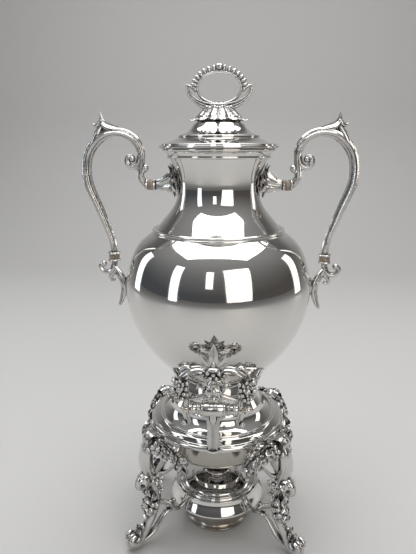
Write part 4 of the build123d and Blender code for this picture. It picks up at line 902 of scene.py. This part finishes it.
def make_upper_mount():
    """Fluted arm with a fan of lobes spread on the neck and a leaf curled over it."""
    mount = Casting()
    mount.bar("arm", [
        (37.3, 0, 329.8, 8.2, 10), (40.4, 0, 329, 7.4, 9), (44, 0, 328, 6, 7), (48.6, 0, 326.9, 4.6, 5),
        (55.4, 0, HANDLE_TOP, 3.6),
    ], 0.8, section=ring_section(9, 0.24, sharp=0.7), blunt=False)
    root = 328
    fan = (
        (0, 344.4, 40.4), (5, 343, 39.4), (9.4, 338.2, 37.4), (11.6, 330.6, 35.8), (10.6, 322.6, 35),
        (6.4, 317, 36.6),
    )
    for hand in mount.both(Y):
        lobes = fan if hand == 1 else fan[1:]
        for across, height, radius in lobes:
            rise = height - root
            mount.leaf("lobe", [
                (44.6, across * 0.1, 327.6, 1.8, 1.6), (41.4, across * 0.45, 328.4 + rise * 0.45, 3.1, 2),
                (38.6 + (radius - 36) * 0.5, across * 0.8, root + rise * 0.8, 3.2, 1.7),
                (radius + 1.2, across, height, 0.7),
            ], 0.8, veins=1, corners=10, side=(0, rise / 16, -hand * across / 11 if across else 0.01))
    mount.leaf("over_leaf", [
        (53.6, 0, 330.2, 1.6, 1.4), (48, 0, 330.4, 3.2, 1.8), (43.6, 0, 333.2, 4.2, 2),
        (41.6, 0, 338.2, 3.4, 1.6), (43.4, 0, 342.6, 0.9, 0.7),
    ], 0.8, (4, 0.22))
    mount.pieces.append(collar("mount_collar", (55.3, 0, HANDLE_TOP), "X", 1.8, 5.0))
    return mount.join("upper_mount_right")


def make_lower_mount():
    """Curled bracket with a leaf that stands on the bulb."""
    mount = Casting()
    mount.bar("foot_curl", [
        (HANDLE_FOOT, 0, 259.6, 2.6), (93.8, 0, 254.2, 2.8), (98.6, 0, 249, 2.7), (104.6, 0, 250.2, 2.4),
        (106.2, 0, 254.4, 2.2), (103.4, 0, 257, 2.2),
    ], 0.9, section=ring_section(6, 0.12))
    mount.ball("foot_curl_ball", (103.2, 0, 256.4), 2.7, (1, 1.05, 1), 16, 10)
    scroll = [
        (94.2, 0, 254.6, 2.6, 2.2), (89, 0, 247, 3.3, 2.9), (85.4, 0, 238.2, 3.6, 3),
        (85.6, 0, 228.8, 3, 2.2), (89.6, 0, 217.6, 0.8, 0.7),
    ]
    mount.bar("foot_scroll", scroll, 1.0)
    leaf = [(x + 1.4, y, z) for x, y, z, *_ in scroll]
    leaf_sizes = ((2.0, 1.6), (3.9, 1.9), (4.3, 1.9), (3.4, 1.6), (0.7, 0.6))
    mount.leaf("foot_leaf", resized(leaf, leaf_sizes), 0.9, (5, 0.2))
    mount.bar("foot_in_curl", [
        (92.4, 0, 250.4, 2), (95.6, 0, 246.8, 1.9), (97.8, 0, 243.6, 1.6), (96.6, 0, 240.8, 1.4),
        (94.2, 0, 241.6, 1.3),
    ], 0.8)
    pad = [(0, 80.3), (3.9, 80.3), (3.7, 82.2), (3, 83.4), (0, 83.6)]
    oval = Matrix.Diagonal((1, 1, 2.2, 1)) @ Matrix.Rotation(pi / 2, 4, "Y")
    mount.pieces.append(turned("foot_pad", pad, 32, placed(0, 0, BULB_WIDEST) @ oval))
    mount.pieces.append(collar("foot_collar", (HANDLE_FOOT, 0, 260.2), "Z", 1.8, 5.6))
    return mount.join("lower_mount_right")


def make_handles():
    """Both handles; the left one is the right one mirrored."""
    mirror = Matrix.Scale(-1, 4, (1, 0, 0))
    upper_disc = collar("upper_disc_right", (58.6, 0, HANDLE_TOP), "X", 5.0, 4.4, 1.2)
    lower_disc = collar("lower_disc_right", (HANDLE_FOOT, 0, 263.4), "Z", 5.0, 4.4, 1.2)
    sets = (
        (make_grip(), "grip", "cast", "silver_cast"),
        (make_upper_mount(), "upper_mount", "chased", "silver_cast"),
        (make_lower_mount(), "lower_mount", "cast", "silver_cast"),
        (upper_disc, "upper_insulator", "horn", "insulator"),
        (lower_disc, "lower_insulator", "horn", "insulator"),
    )
    for piece, node, finish, slot in sets:
        left = copied(piece.name.replace("right", "left"), piece, mirror)
        fit(piece, finish, "urn", "right_" + node, slot=slot)
        fit(left, finish, "urn", "left_" + node, slot=slot)


# Legs

def add_leg_side(leg, hand, berry):
    """What a leg has on either side: wing, leaves, flowers, foot roll and brace to the lamp."""
    wing = [
        (68, 2, 103, 4.6), (65.5, 13, 104.8, 4.4), (61, 23, 102, 3.9), (57.4, 31, 94.5, 3.5),
        (55.8, 31.8, 85.4, 3), (56.6, 26.4, 82.6, 2.6), (57.2, 24, 87.4, 2.3), (57.4, 27, 90, 1.9),
    ]
    leg.bar("wing", wing, 1.2, section=ring_section(5, 0.18, sharp=0.7), side=(1, 0, 0))
    leg.ball("wing_eye", (58.2, 27.4, 88.4), 2.8)
    leg.ball("wing_drop", (57.2, 28.8, 79.6), 2.0, (1, 1, 1.3))
    shoulder = [(x + 2, y, z + 1.6) for x, y, z, _ in wing[:5]]
    leg.foliage("shoulder_leaf", shoulder, (0.7, 0.2, 0.6), 9, 7.6, 1.8, 0.62, hand)
    front = [(x + 3.2, y, z - 2) for x, y, z, _ in wing[:4]]
    leg.foliage("front_leaf", front, (1, 0, -0.1), 6, 6.4, 1.5, 0.6, hand + 2)
    leg.berries([
        (72.6, 9, 103.8), (71, 12.6, 102.8), (69, 16.4, 101.4), (71.6, 10.4, 99.8), (69.6, 14.4, 98.4),
        (67, 19, 98.4), (67.4, 17, 94.6),
    ], berry, hand)
    leg.leaf("wing_leaf", [
        (70.5, 3, 107, 3, 1.4), (69, 11.5, 108.6, 4.4, 1.7), (65.6, 21, 106.2, 4, 1.6),
        (62, 29.4, 98.8, 0.9, 0.6),
    ], 1.0, (5, 0.24), side=(0.6, 0, 0.8))
    leg.leaf("drop_leaf", [(66, 9, 103, 2.6, 1.2), (64.6, 13, 96, 3.3, 1.4), (62.8, 14, 89.5, 0.8, 0.6)],
             0.9, (3, 0.2), side=(0.3, 1, 0))
    leg.bar("edge", [
        (77.4, 3.4, 98, 1.5), (78.6, 4.6, 88, 1.9), (75.4, 4.4, 74, 1.7), (71, 3.6, 60, 1),
    ], 1.2)
    leg.leaf("side_leaf", [(73.6, 2, 70.8, 2.6, 1.5), (78.6, 6.4, 69.4, 3.4, 1.6), (82, 8.2, 64, 0.8, 0.7)],
             0.9, (3, 0.2), side=(0.5, 0.2, 1))
    leg.flower("flower", (69.6, 5.4, 68), (0.35, 1, 0.15), 5.8)
    leg.flower("bud", (66.6, 4.4, 55.8), (0.1, 1, 0.1), 3.9, 5)
    leg.leaf("vine_leaf", [(70.4, 2, 51.4, 2.4, 1.3), (74, 6, 52.6, 3.6, 1.5), (78, 8.4, 48.4, 0.8, 0.6)],
             0.9, (3, 0.3), side=(0.6, 0.2, 1))
    leg.bar("foot_roll", [
        (88, 2.6, 12.6, 2.6), (93.6, 4.4, 9.4, 3), (96.4, 4.8, 13.4, 2.6), (92.6, 4.6, 16.6, 1.6),
    ], 0.9)
    leg.bar("brace", [
        (84, 1.8, 6.2, 1.8), (75, 1.8, 9.6, 2), (66, 1.7, 17.8, 1.9), (58.4, 1.5, 25.6, 1.8),
        (50, 1.2, 25.4, 1.7), (45.6, 0.6, 23.6, 1.6), (42.2, 0, 24.4, 1.3),
    ], 1.1)


def grape_places():
    """Places of the grapes: five rows down the shin and two at each side."""
    places = []
    for number, radius, height, spread in (
        (2, 73.4, 47.5, 3.6), (3, 76.4, 43.4, 5.4), (3, 78.4, 39, 6), (2, 79.2, 34.6, 4.6),
        (1, 78.6, 30.6, 0),
    ):
        for index in range(number):
            across = spread * (2 * index / max(number - 1, 1) - 1)
            places.append((radius - abs(across) * 0.25, across, height + (index % 2) * 1.2))
    return places + [(71.4, 6, 42), (71.4, -6, 42), (73.4, 5.6, 36.4), (73.4, -5.6, 36.4)]


def make_leg():
    """One cast leg pointing along X: crown, wings, knee leaf, grapes, scroll foot and lamp bracket."""
    berry = sizes().berry / MM
    small = berry * 0.86
    leg = Casting()
    leg.bar("stalk", LEG_ROWS, 1.6, section=ring_section(6, 0.10, sharp=0.7))
    leg.leaf("crown_roll", [
        (65.4, 0, 105, 7.4, 2.3), (67.4, 0, 110.8, 8.2, 2.4), (72.4, 0, 113, 7.8, 2.4),
        (76.8, 0, 109.8, 6.8, 2.2), (77, 0, 104.4, 5.8, 2), (73.4, 0, 102.6, 4.8, 1.9),
        (71.4, 0, 106.2, 4, 1.7),
    ], 1.0, (6, 0.16), 3, 18)
    for hand in leg.both(Y):
        add_leg_side(leg, hand, small)
    pairs = ((71.4, 9, 106.8), (68.6, 10.4, 108.8), (74.4, 7.6, 103.2), (77.2, 5, 100))
    crown = [(x, y * hand, z) for x, y, z in pairs for hand in (1, -1)]
    leg.berries([*crown, (78, 0, 98.6), (73.4, 8, 99.4), (73.4, -8, 99.4)], small)
    leg.foliage("knee_spray", [(76.4, 0, 80), (75.6, 0, 74), (73, 0, 64)], (1, 0, 0.1), 4, 6.4, 1.6, 0.7)
    leg.foliage("shin_spray", [(74.4, 0, 58), (75.4, 0, 46), (78.6, 0, 30)], (1, 0, 0.2), 7, 6.6, 2, 0.75, 1)
    leg.foliage("foot_spray", [(80.6, 0, 24), (86.4, 0, 15), (92, 0, 10)], (0.7, 0, 0.7), 5, 6.2, 1.8, 0.7, 2)
    knee = [
        (72.6, 0, 72.4, 4.6, 3), (77.8, 0, 73.8, 6.4, 3.4), (83, 0, 71.8, 6.4, 3.4), (85.8, 0, 66.4, 5.2, 3),
        (84.4, 0, 61.6, 3.6, 2.4), (80.8, 0, 61.2, 2, 1.6),
    ]
    leg.leaf("knee_leaf", knee, 1.0, (4, 0.2), 3)
    roll = ((3.6, 2.8), (3.8, 3.0), (3.8, 3.0), (3.4, 2.6), (2.8, 2.2))
    leg.bar("knee_roll", resized(knee[1:], roll), 1.0)
    leg.berries(grape_places(), berry, 1.0)
    leg.leaf("foot_leaf", [
        (80.6, 0, 22.4, 2.8, 1.8), (86.6, 0, 16.8, 4.6, 2), (90.8, 0, 18.4, 3.6, 1.8),
        (90.2, 0, 22, 0.9, 0.8),
    ], 0.9, (3, 0.2))
    leg.bar("bracket", [
        (69, 0, 40.6, 3), (61, 0, 37.1, 2.6), (55.4, 0, 33, 2.4), (51, 0, 26.6, 2.4), (45, 0, 22.6, 1.8),
    ], 1.0)
    leg.bar("bracket_curl", [
        (56.8, 0, 31, 2), (53.6, 0, 35.4, 1.9), (49.6, 0, 34.2, 1.6), (50.2, 0, 30.8, 1.4),
    ], 0.8)
    leg.bar("pad", [(51.2, 0, 104, 8, 2.4), (55.5, 0, 104.4, 11, 3), (60, 0, 104.6, 9, 3.4)], 1.0)
    return flat_footed(leg.join("leg"))


def flat_footed(leg):
    """The casting, cut off level with the table and closed there."""
    level, down = (0, 0, 0.00002), (0, 0, -1)
    cut = {"plane_co": level, "plane_no": down, "use_fill": True, "clear_outer": True}
    edited(leg, ("bisect", cut))
    return leg


def make_legs():
    """The four legs, copies of one."""
    pattern = make_leg()
    for place, angle in LEG_PLACES.items():
        leg = copied("cast_leg_" + place, pattern, Matrix.Rotation(radians(angle), 4, "Z"))
        fit(leg, "cast", "urn", "leg_" + place, slot="silver_cast")
    bpy.data.objects.remove(pattern)


# Tap

def make_tap():
    """Boss, barrel, fluted spout and the ends of the plug."""
    boss = [
        (4.8, 36.4), (9.9, 36.4), (9.9, 43), (9.4, 45.4), (8.2, 46.6), (8.4, 47.6), (7.8, 48.8), (6.6, 49.4),
        (6.2, 52.6), (4.8, 52.6),
    ]
    forward = placed(0, 0, TAP_HEIGHT, turn_x=90)
    fit(turned("boss_on_bulb", boss, 64, forward), "trim", "urn", "tap_boss", slot="silver_trim")

    tap = Casting((0, -TAP_REACH, 0))
    half = [
        (6.1, 6.6), *round_edge((5.2, 8.6), 0.9, -60, 90, 6), (5, 9.8), (4.6, 10.6),
        *round_edge((4.5, 12), 0.75, -70, 90, 6), (4.15, 13.2), (4.3, 15.2),
        *round_edge((4.3, 16.6), 0.7, -60, 90, 6), (4.1, 18.7), (0, 18.7),
    ]
    barrel = [(radius, -height) for radius, height in half[::-1]] + [(6.1, 0)] + half
    tap.pieces.append(turned("barrel", barrel, 64, placed(0, -TAP_REACH, TAP_HEIGHT, turn_y=90)))
    shank = [
        (3.1, 32.8), (4.6, 32.8), (4.6, 52), *round_edge((4.9, 54.4), 0.9, -80, 90, 5), (4.5, 56.4),
        (4.3, 66), (4.9, 74), (5.7, 79.6), (3.1, 79.8),
    ]
    tap.pieces.append(turned("shank", shank, 48, forward))
    tap.bar("spout", [(0, 0, 160, 5.9), (0, 0, 148, 5), (0, 0, 136, 4.7), (0, 0, 126.2, 5.4)], 1.2,
            section=ring_section(8, 0.30, sharp=0.5), side=(1, 0, 0))
    mouth = [(3, 124.8), (5.5, 124.8), (5.7, 125.6), (5.5, 126.6), (3, 126.6)]
    tap.pieces.append(turned("spout_mouth", mouth, 40, placed(0, -TAP_REACH, 0)))
    for lean in (-64, 0, 64):
        x, y = sin(radians(lean)), -cos(radians(lean))
        leaf = ((4.7, 163.4, 1.2, 0.8), (4.9, 158, 3, 1), (4.7, 152.4, 2.5, 0.95), (4.9, 148.6, 0.5, 0.5))
        rows = [(x * away, y * away, height, *size) for away, height, *size in leaf]
        tap.leaf("spout_leaf", rows, 0.8, (3, 0.2), side=(-y, x, 0))
    fit(tap.join("tap_barrel_and_spout"), "cast", "urn", "tap_body", slot="silver_trim")

    knob = [(0, 0), (1.6, 0), (1.6, 0.9), *round_edge((0, 3.4), 3, -56, 90, 10)]
    knob = turned("plug_ball", knob, 40, placed(23.6, -TAP_REACH, TAP_HEIGHT, turn_y=90))
    fit(knob, "trim", "tap_handle", "plug_knob", slot="silver_trim")
    head = [(0, 0), (2.5, 0), (2.6, 0.7), (1.9, 1.4), (0, 1.6)]
    head = turned("plug_button", head, 32, placed(-23.4, -TAP_REACH, TAP_HEIGHT, turn_y=-90))
    fit(head, "trim", "tap_handle", "plug_head", slot="silver_trim")


def add_lever_side(lever):
    """One side of the lever: arm with its eye, C scroll, cross bar, leaves, flowers and berries."""
    flute = ring_section(4, 0.36, 16, 0.8)
    lever.bar("arm", [
        (26.4, 0, 18.6, 2.4), (23.6, 0, 14, 2.7), (20.4, 0, 8, 2.8), (20.8, 0, 0, 2.9), (21.2, 0, -6.4, 2.7),
        (19.6, 0, -12, 2.2), (22.4, 0, -13.8, 1.5),
    ], 0.9, section=flute)
    lever.ball("arm_curl", (22.6, 0, -12.8), 2.3)
    eye = [(2.3, -1.5), (3.5, -1.5), (3.9, -1), (3.9, 1), (3.5, 1.5), (2.3, 1.5)]
    lever.pieces.append(turned("lever_eye", eye, 32, placed(*lever.spot((20.8, 0, 0)), turn_y=90)))
    lever.bar("scroll", [
        (26.4, 0, 17.8, 2.4), (25.6, 0, 24.6, 2.8), (21.2, 0, 29.6, 3.3), (14, 0, 33, 3.3),
        (7.4, 0, 32.6, 2.8), (4.6, 0, 29, 2.3), (6.8, 0, 26.4, 1.8), (9.2, 0, 28.2, 1.4),
    ], 0.9, section=flute)
    lever.ball("scroll_eye", (8, 0, 28.6), 1.5)
    lever.bar("cross", [(20.2, 0, 8, 1.5), (14, 0, 9.2, 1.7), (8, 0, 11.2, 1.8), (3, 0, 13, 1.9)], 0.9)
    flank = [(5.2, -1.2, 17, 2.4, 1.1), (10.4, -1.4, 20.4, 2.6, 1.2), (13.4, -0.6, 17.2, 0.6, 0.5)]
    lever.leaf("flank_leaf", flank, 0.7, (3, 0.24), side=(0, 0.2, 1))
    for face in lever.both(Y):
        for x, up, size in ((26, 20.6, 4.7), (28.4, 13, 3.6)):
            lever.flower("flower", (x, -1.9, up), (0.3, -1, 0.1), size, 6, 0.5)
        for x, up, size in (
            (20.2, 22, 1.9), (21, 17.6, 2.1), (22.4, 13.4, 2.2), (24, 9.6, 2), (31.4, 17, 2), (20, 12.6, 1.6),
            (26.8, 8.2, 1.8), (30.6, 24.4, 1.8), (25.6, 16.2, 2.2),
        ):
            lever.ball("berry", (x, -2.1, up), size)
    lever.bar("whorl", [
        (17.4, 0, 33.4, 1.8, 1.6), (20.8, 0, 35.4, 2.2, 1.8), (24.4, 0, 33.4, 1.9, 1.6), (25, 0, 30.4, 0.6),
    ], 0.8)


def make_lever():
    """Yoke lever: two sides, a middle bar with boss, drop and clasp, and a crown of leaves."""
    lever = Casting((0, -TAP_REACH, TAP_HEIGHT))
    for hand in lever.both(X):
        add_lever_side(lever)
    middle = [(0, 0, 12, 1.9), (0, 0, 22, 1.9), (0, 0, 31, 2.1), (0, 0, 38, 2.2)]
    lever.bar("middle", middle, 0.9, side=(1, 0, 0))
    lever.flower("boss", (0, -1.6, 15.4), (0, -1, 0.1), 6.6, 8, 0.45)
    lever.ball("boss_eye", (0, -3.2, 16), 2.7, (1, 0.8, 1.1))
    lever.ball("drop", (0, -0.8, 9.4), 4.4, (1.25, 0.8, 0.75), 18, 12)
    shell = [
        (0, -1.2, 21.6, 1.6, 1), (0, -3.2, 18, 4.4, 1.5), (0, -3.6, 14, 5.2, 1.6), (0, -2, 10.6, 3.4, 1.1),
    ]
    lever.leaf("shell", shell, 0.7, veins=4, corners=18, side=(1, 0, 0))
    lever.flower("boss_back", (0, 1.8, 14), (0, 1, 0.1), 5.2, 7, 0.2)
    lever.ball("clasp", (0, -0.8, 33.6), 3.4, (1.7, 1, 0.62), 16, 10)
    for x, up in ((-4.4, 31), (0, 29.6), (4.4, 31), (-2.2, 26.8), (2.2, 26.8), (0, 24)):
        for face in lever.both(Y):
            lever.ball("calyx_bead", (x, -1.8, up), 2.0)
    chain = [(0, 1.6, 30.6, 2.4, 1), (0, 2.2, 25.6, 2, 1.2), (0, 1.8, 21.4, 0.6)]
    for face in lever.both(Y):
        lever.leaf("chain", chain, 0.7, (3, 0.3), side=(1, 0, 0))
    crown = ((0, 19.6, 3.6), (40, 14.6, 3), (-40, 14.6, 3), (68, 10.6, 2.6), (-68, 10.6, 2.6))
    for lean, length, width in crown:
        x, z = sin(radians(lean)), cos(radians(lean))
        leaf = ((0, 0.3, 1.2, 1), (0.4, 0.8, width, 1.7), (0.75, 0.3, width * 0.95, 1.5), (1, 0.3, 0.5, 0.4))
        rows = [(x * length * share, -bow, 34 + z * length * share, *size) for share, bow, *size in leaf]
        for face in lever.both(Y):
            lever.leaf("crown", rows, 0.7, side=(face * z, 0, -face * x))
    fit(lever.join("yoke_lever"), "chased", "tap_handle", "tap_lever", slot="silver_cast")


# Spirit lamp

def make_lamp():
    """Bowl, polished band, cover and snuffer cap."""
    belly = [(26.8, 6), (31.4, 8.6), (35.3, 14.2), (38.6, 26.6)]
    bowl = [
        (25.4, 0.8), (30, 0.8), *round_edge((29.4, 1.6), 0.6, -30, 90, 4), (27.4, 3.6), (26.8, 4.6),
        *outline_curve(belly, 1.2), (38.6, 39.4), (6.1, 39.4), (6.1, 38), (37.2, 38), (37.2, 26.6),
        (33.9, 15.6), (25.4, 7.4), (0, 7.4), (0, 6), (25.4, 6),
    ]
    fit(turned("lamp_reservoir", bowl), "inner", "lamp", "lamp_bowl", slot="silver_dark")
    flare = [(45.2, 28.4), (42.9, 33.2), (41.1, 37), (40.4, 39.6)]
    band = [
        (40.6, 26.6), *round_edge((44.5, 27.5), 0.9, -90, 20, 6), *outline_curve(flare, 0.8),
        *round_edge((39.8, 40.2), 0.6, 0, 90, 4), (34.4, 40.8), (34.4, 39.4), (38.7, 39.4), (38.7, 38),
        (40.6, 28),
    ]
    fit(turned("lamp_polished_band", band), "plate", "lamp", "lamp_band", slot="silver")
    cover = [
        (4.2, 40.8), (38.2, 40.8), *round_edge((37.4, 41.9), 0.85, 0, 180, 8), (36.3, 41.7),
        *round_edge((35.2, 41.8), 0.9, 0, 180, 8)[1:], (34.1, 41.6), (32.6, 42.4), (32.2, 43.2), (31, 43.7),
        (24.4, 44), (4.2, 44),
    ]
    fit(turned("lamp_top", cover), "plate", "lamp", "lamp_cover", slot="silver")
    slope = [(22.9, 46.7), (18.6, 47.3), (14.9, 48.2), (12.2, 49.8)]
    cap = [
        (22.1, 44.1), (23.5, 44.1), (23.5, 46), *round_edge((22.9, 46.1), 0.6, 0, 90, 4),
        *outline_curve(slope, 0.8), *round_edge((11.6, 50.7), 0.6, -20, 90, 5), (4, 51.3), (0, 51.3),
        (0, 49.6), (10.6, 49.6), (20.7, 45.6), (22.1, 44.8),
    ]
    fit(turned("snuffer", cap), "plate", "lamp_cap", "lamp_cap", slot="silver")


def dress_fastenings():
    """Finishes of the nodes that stay as they are."""
    for node in ("hinge_pin", "finial_stud", "left_insulator_pins", "right_insulator_pins"):
        dress(node, "steel")
    for node in ("finial_nut", "tap_nut", "tap_plug", "wick_tube"):
        dress(node, "brass")
    for node in ("rim_hinge_leaf", "lid_hinge_leaf"):
        dress(node, "trim")
    dress("tap_gasket", "leather")
    dress("wick", "wick")


# Stage

SOFTBOX_TARGET = Vector((0, 0, 0.22))
SOFTBOXES = {
    "window_right": ((0.58, -1.15, 0.66), 0.74, 0.92, 1.95, (1.0, 0.935, 0.865)),
    "window_left": ((-1.05, -0.85, 0.62), 0.28, 1.0, 2.0, (0.87, 0.935, 1.0)),
    "window_slim": ((-0.20, -1.40, 0.84), 0.22, 0.52, 2.0, (1.0, 0.99, 0.97)),
    "rim_right": ((1.25, 0.45, 0.50), 0.30, 0.90, 1.7, (1.0, 0.95, 0.89)),
    "rim_left": ((-1.25, 0.45, 0.50), 0.30, 0.90, 1.7, (0.92, 0.96, 1.0)),
    "top": ((0, 0.15, 1.55), 1.7, 1.5, 3.1, (1.0, 1.0, 1.0)),
}


def make_softbox(name, spot, width, height, brightness, colour):
    """Rectangular lamp aimed at the urn, in metres; its own surface shows at this brightness."""
    light = bpy.data.lights.new(name, "AREA")
    light.shape = "RECTANGLE"
    light.size, light.size_y = width, height
    light.energy = pi * width * height * brightness
    light.color = colour
    lamp = bpy.data.objects.new(name, light)
    bpy.context.collection.objects.link(lamp)
    lamp.location = spot
    lamp.rotation_euler = (SOFTBOX_TARGET - Vector(spot)).to_track_quat("-Z", "Y").to_euler()


def make_backdrop():
    """Seamless sheet: a floor that curves up into a wall behind the urn."""
    low, bend, back, top, half_width, below = -8.0, 0.5, 1.5, 2.2, 6.0, 0.0002
    path = [(low + (back - bend - low) * step / 4, 0.0) for step in range(5)]
    for step in range(1, 17):
        turn = pi / 2 * step / 16
        path.append((back - bend + bend * sin(turn), bend - bend * cos(turn)))
    path += [(back, bend + (top - bend) * step / 3) for step in range(1, 4)]
    deselect()
    bpy.ops.mesh.primitive_grid_add(x_subdivisions=8, y_subdivisions=len(path) - 1, size=2)
    sheet = bpy.context.object
    sheet.name = "floor"
    for vertex in sheet.data.vertices:
        row = int(round((vertex.co.y + 1) / 2 * (len(path) - 1)))
        vertex.co = (vertex.co.x * half_width, path[row][0], path[row][1] - below)
    bpy.ops.object.shade_smooth()
    sheet.data.materials.append(finishes()["floor"])


def make_room():
    """Dim room round the sheet, so that the metal has something dark to show."""
    world = bpy.data.worlds.new("studio")
    bpy.context.scene.world = world
    world.use_nodes = True
    room = Paint(world, "Background")
    way = room.node("ShaderNodeTexCoord", output="Generated")
    right = room.node("ShaderNodeSeparateXYZ", {}, [way], output="X")
    up = room.node("ShaderNodeSeparateXYZ", {}, [way], output="Z")
    side = room.colours((0.072, 0.077, 0.085), (0.086, 0.080, 0.074), right * 0.5 + 0.5)
    low, high = 0.1, 0.95
    height = room.node(
        "ShaderNodeMapRange", {"clamp": True}, {"Value": up, "From Min": low, "From Max": high},
    )
    room.set(Color=room.colours(side, (0.34, 0.34, 0.335), height), Strength=1.0)


def make_camera():
    """Camera at the photograph's viewing angle."""
    away, height, pitch, round_axis, aside = 0.435, 0.357, 14.4, 2.2, 1.2
    focal_pixels, image_pixels = 500, 416
    camera = bpy.data.objects.new("camera", bpy.data.cameras.new("camera"))
    bpy.context.collection.objects.link(camera)
    lean = radians(round_axis)
    camera.location = (away * sin(lean), -away * cos(lean), height)
    camera.rotation_euler = (radians(90 - pitch), 0, lean + radians(aside))
    camera.data.sensor_fit = "HORIZONTAL"
    camera.data.sensor_width = 36
    camera.data.lens = camera.data.sensor_width * focal_pixels / image_pixels
    camera.data.clip_start = 0.01
    bpy.context.scene.camera = camera
    bpy.context.scene.view_settings.view_transform = "Standard"


def make_stage():
    """Backdrop, dim room, softboxes and the camera."""
    make_backdrop()
    make_room()
    for name, settings in SOFTBOXES.items():
        make_softbox(name, *settings)
    make_camera()


# Operators and panel

class UrnStep:
    """Shared by the operators: each runs its own makers, and an error in one of them stops it."""

    def execute(self, context):
        for make in self.makers:
            make()
        return {"FINISHED"}


class URN_OT_body(UrnStep, bpy.types.Operator):
    """Builds the bulb, neck, rim, stem, dish and apron"""

    bl_idname = "urn.body"
    bl_label = "Body and Dish"
    makers = (make_bulb, make_neck, make_stand)


class URN_OT_lid(UrnStep, bpy.types.Operator):
    """Builds the stepped lid and its finial"""

    bl_idname = "urn.lid"
    bl_label = "Lid and Finial"
    makers = (make_lid, make_cone, make_ring)


class URN_OT_handles(UrnStep, bpy.types.Operator):
    """Builds the two scroll handles with their mounts"""

    bl_idname = "urn.handles"
    bl_label = "Handles"
    makers = (make_handles,)


class URN_OT_legs(UrnStep, bpy.types.Operator):
    """Builds the four cast legs"""

    bl_idname = "urn.legs"
    bl_label = "Legs"
    makers = (make_legs,)


class URN_OT_tap(UrnStep, bpy.types.Operator):
    """Builds the tap and its yoke lever"""

    bl_idname = "urn.tap"
    bl_label = "Tap"
    makers = (make_tap, make_lever)


class URN_OT_lamp(UrnStep, bpy.types.Operator):
    """Builds the spirit lamp with its snuffer cap"""

    bl_idname = "urn.lamp"
    bl_label = "Spirit Lamp"
    makers = (make_lamp,)


class URN_OT_fastenings(UrnStep, bpy.types.Operator):
    """Gives pins, nuts, hinge leaves and the wick their finishes"""

    bl_idname = "urn.fastenings"
    bl_label = "Fastenings"
    makers = (dress_fastenings,)


class URN_OT_stage(UrnStep, bpy.types.Operator):
    """Sets up the floor, lights and camera"""

    bl_idname = "urn.stage"
    bl_label = "Stage"
    makers = (make_stage,)


class URN_PT_panel(bpy.types.Panel):
    """Lists the urn's pieces in the sidebar"""

    bl_label = "Coffee Urn"
    bl_idname = "URN_PT_panel"
    bl_space_type = "VIEW_3D"
    bl_region_type = "UI"
    bl_category = "Coffee Urn"

    def draw(self, context):
        for name in ("spin_steps", "berry", "ring_bead"):
            self.layout.prop(context.scene.urn_sizes, name)
        for name in ("silver", "painted_recess_shade", "tarnish", "horn", "floor"):
            self.layout.prop(context.scene.urn_finish, name)
        for operator in STEPS:
            self.layout.operator(operator)


STEPS = (
    "urn.stage", "urn.body", "urn.lid", "urn.handles", "urn.legs", "urn.tap", "urn.lamp", "urn.fastenings",
)
CLASSES = (
    UrnSizes, UrnFinish, URN_OT_body, URN_OT_lid, URN_OT_handles, URN_OT_legs, URN_OT_tap, URN_OT_lamp,
    URN_OT_fastenings, URN_OT_stage, URN_PT_panel,
)


def register():
    """Registers the classes and the scene's settings."""
    for item in CLASSES:
        bpy.utils.register_class(item)
    bpy.types.Scene.urn_sizes = PointerProperty(type=UrnSizes)
    bpy.types.Scene.urn_finish = PointerProperty(type=UrnFinish)


def unregister():
    """Removes the scene's settings and the classes."""
    del bpy.types.Scene.urn_sizes
    del bpy.types.Scene.urn_finish
    for item in reversed(CLASSES):
        bpy.utils.unregister_class(item)


def main():
    """Builds the urn and its stage."""
    register()
    for step in STEPS:
        group, name = step.split(".")
        getattr(getattr(bpy.ops, group), name)()


if __name__ == "__main__":
    main()
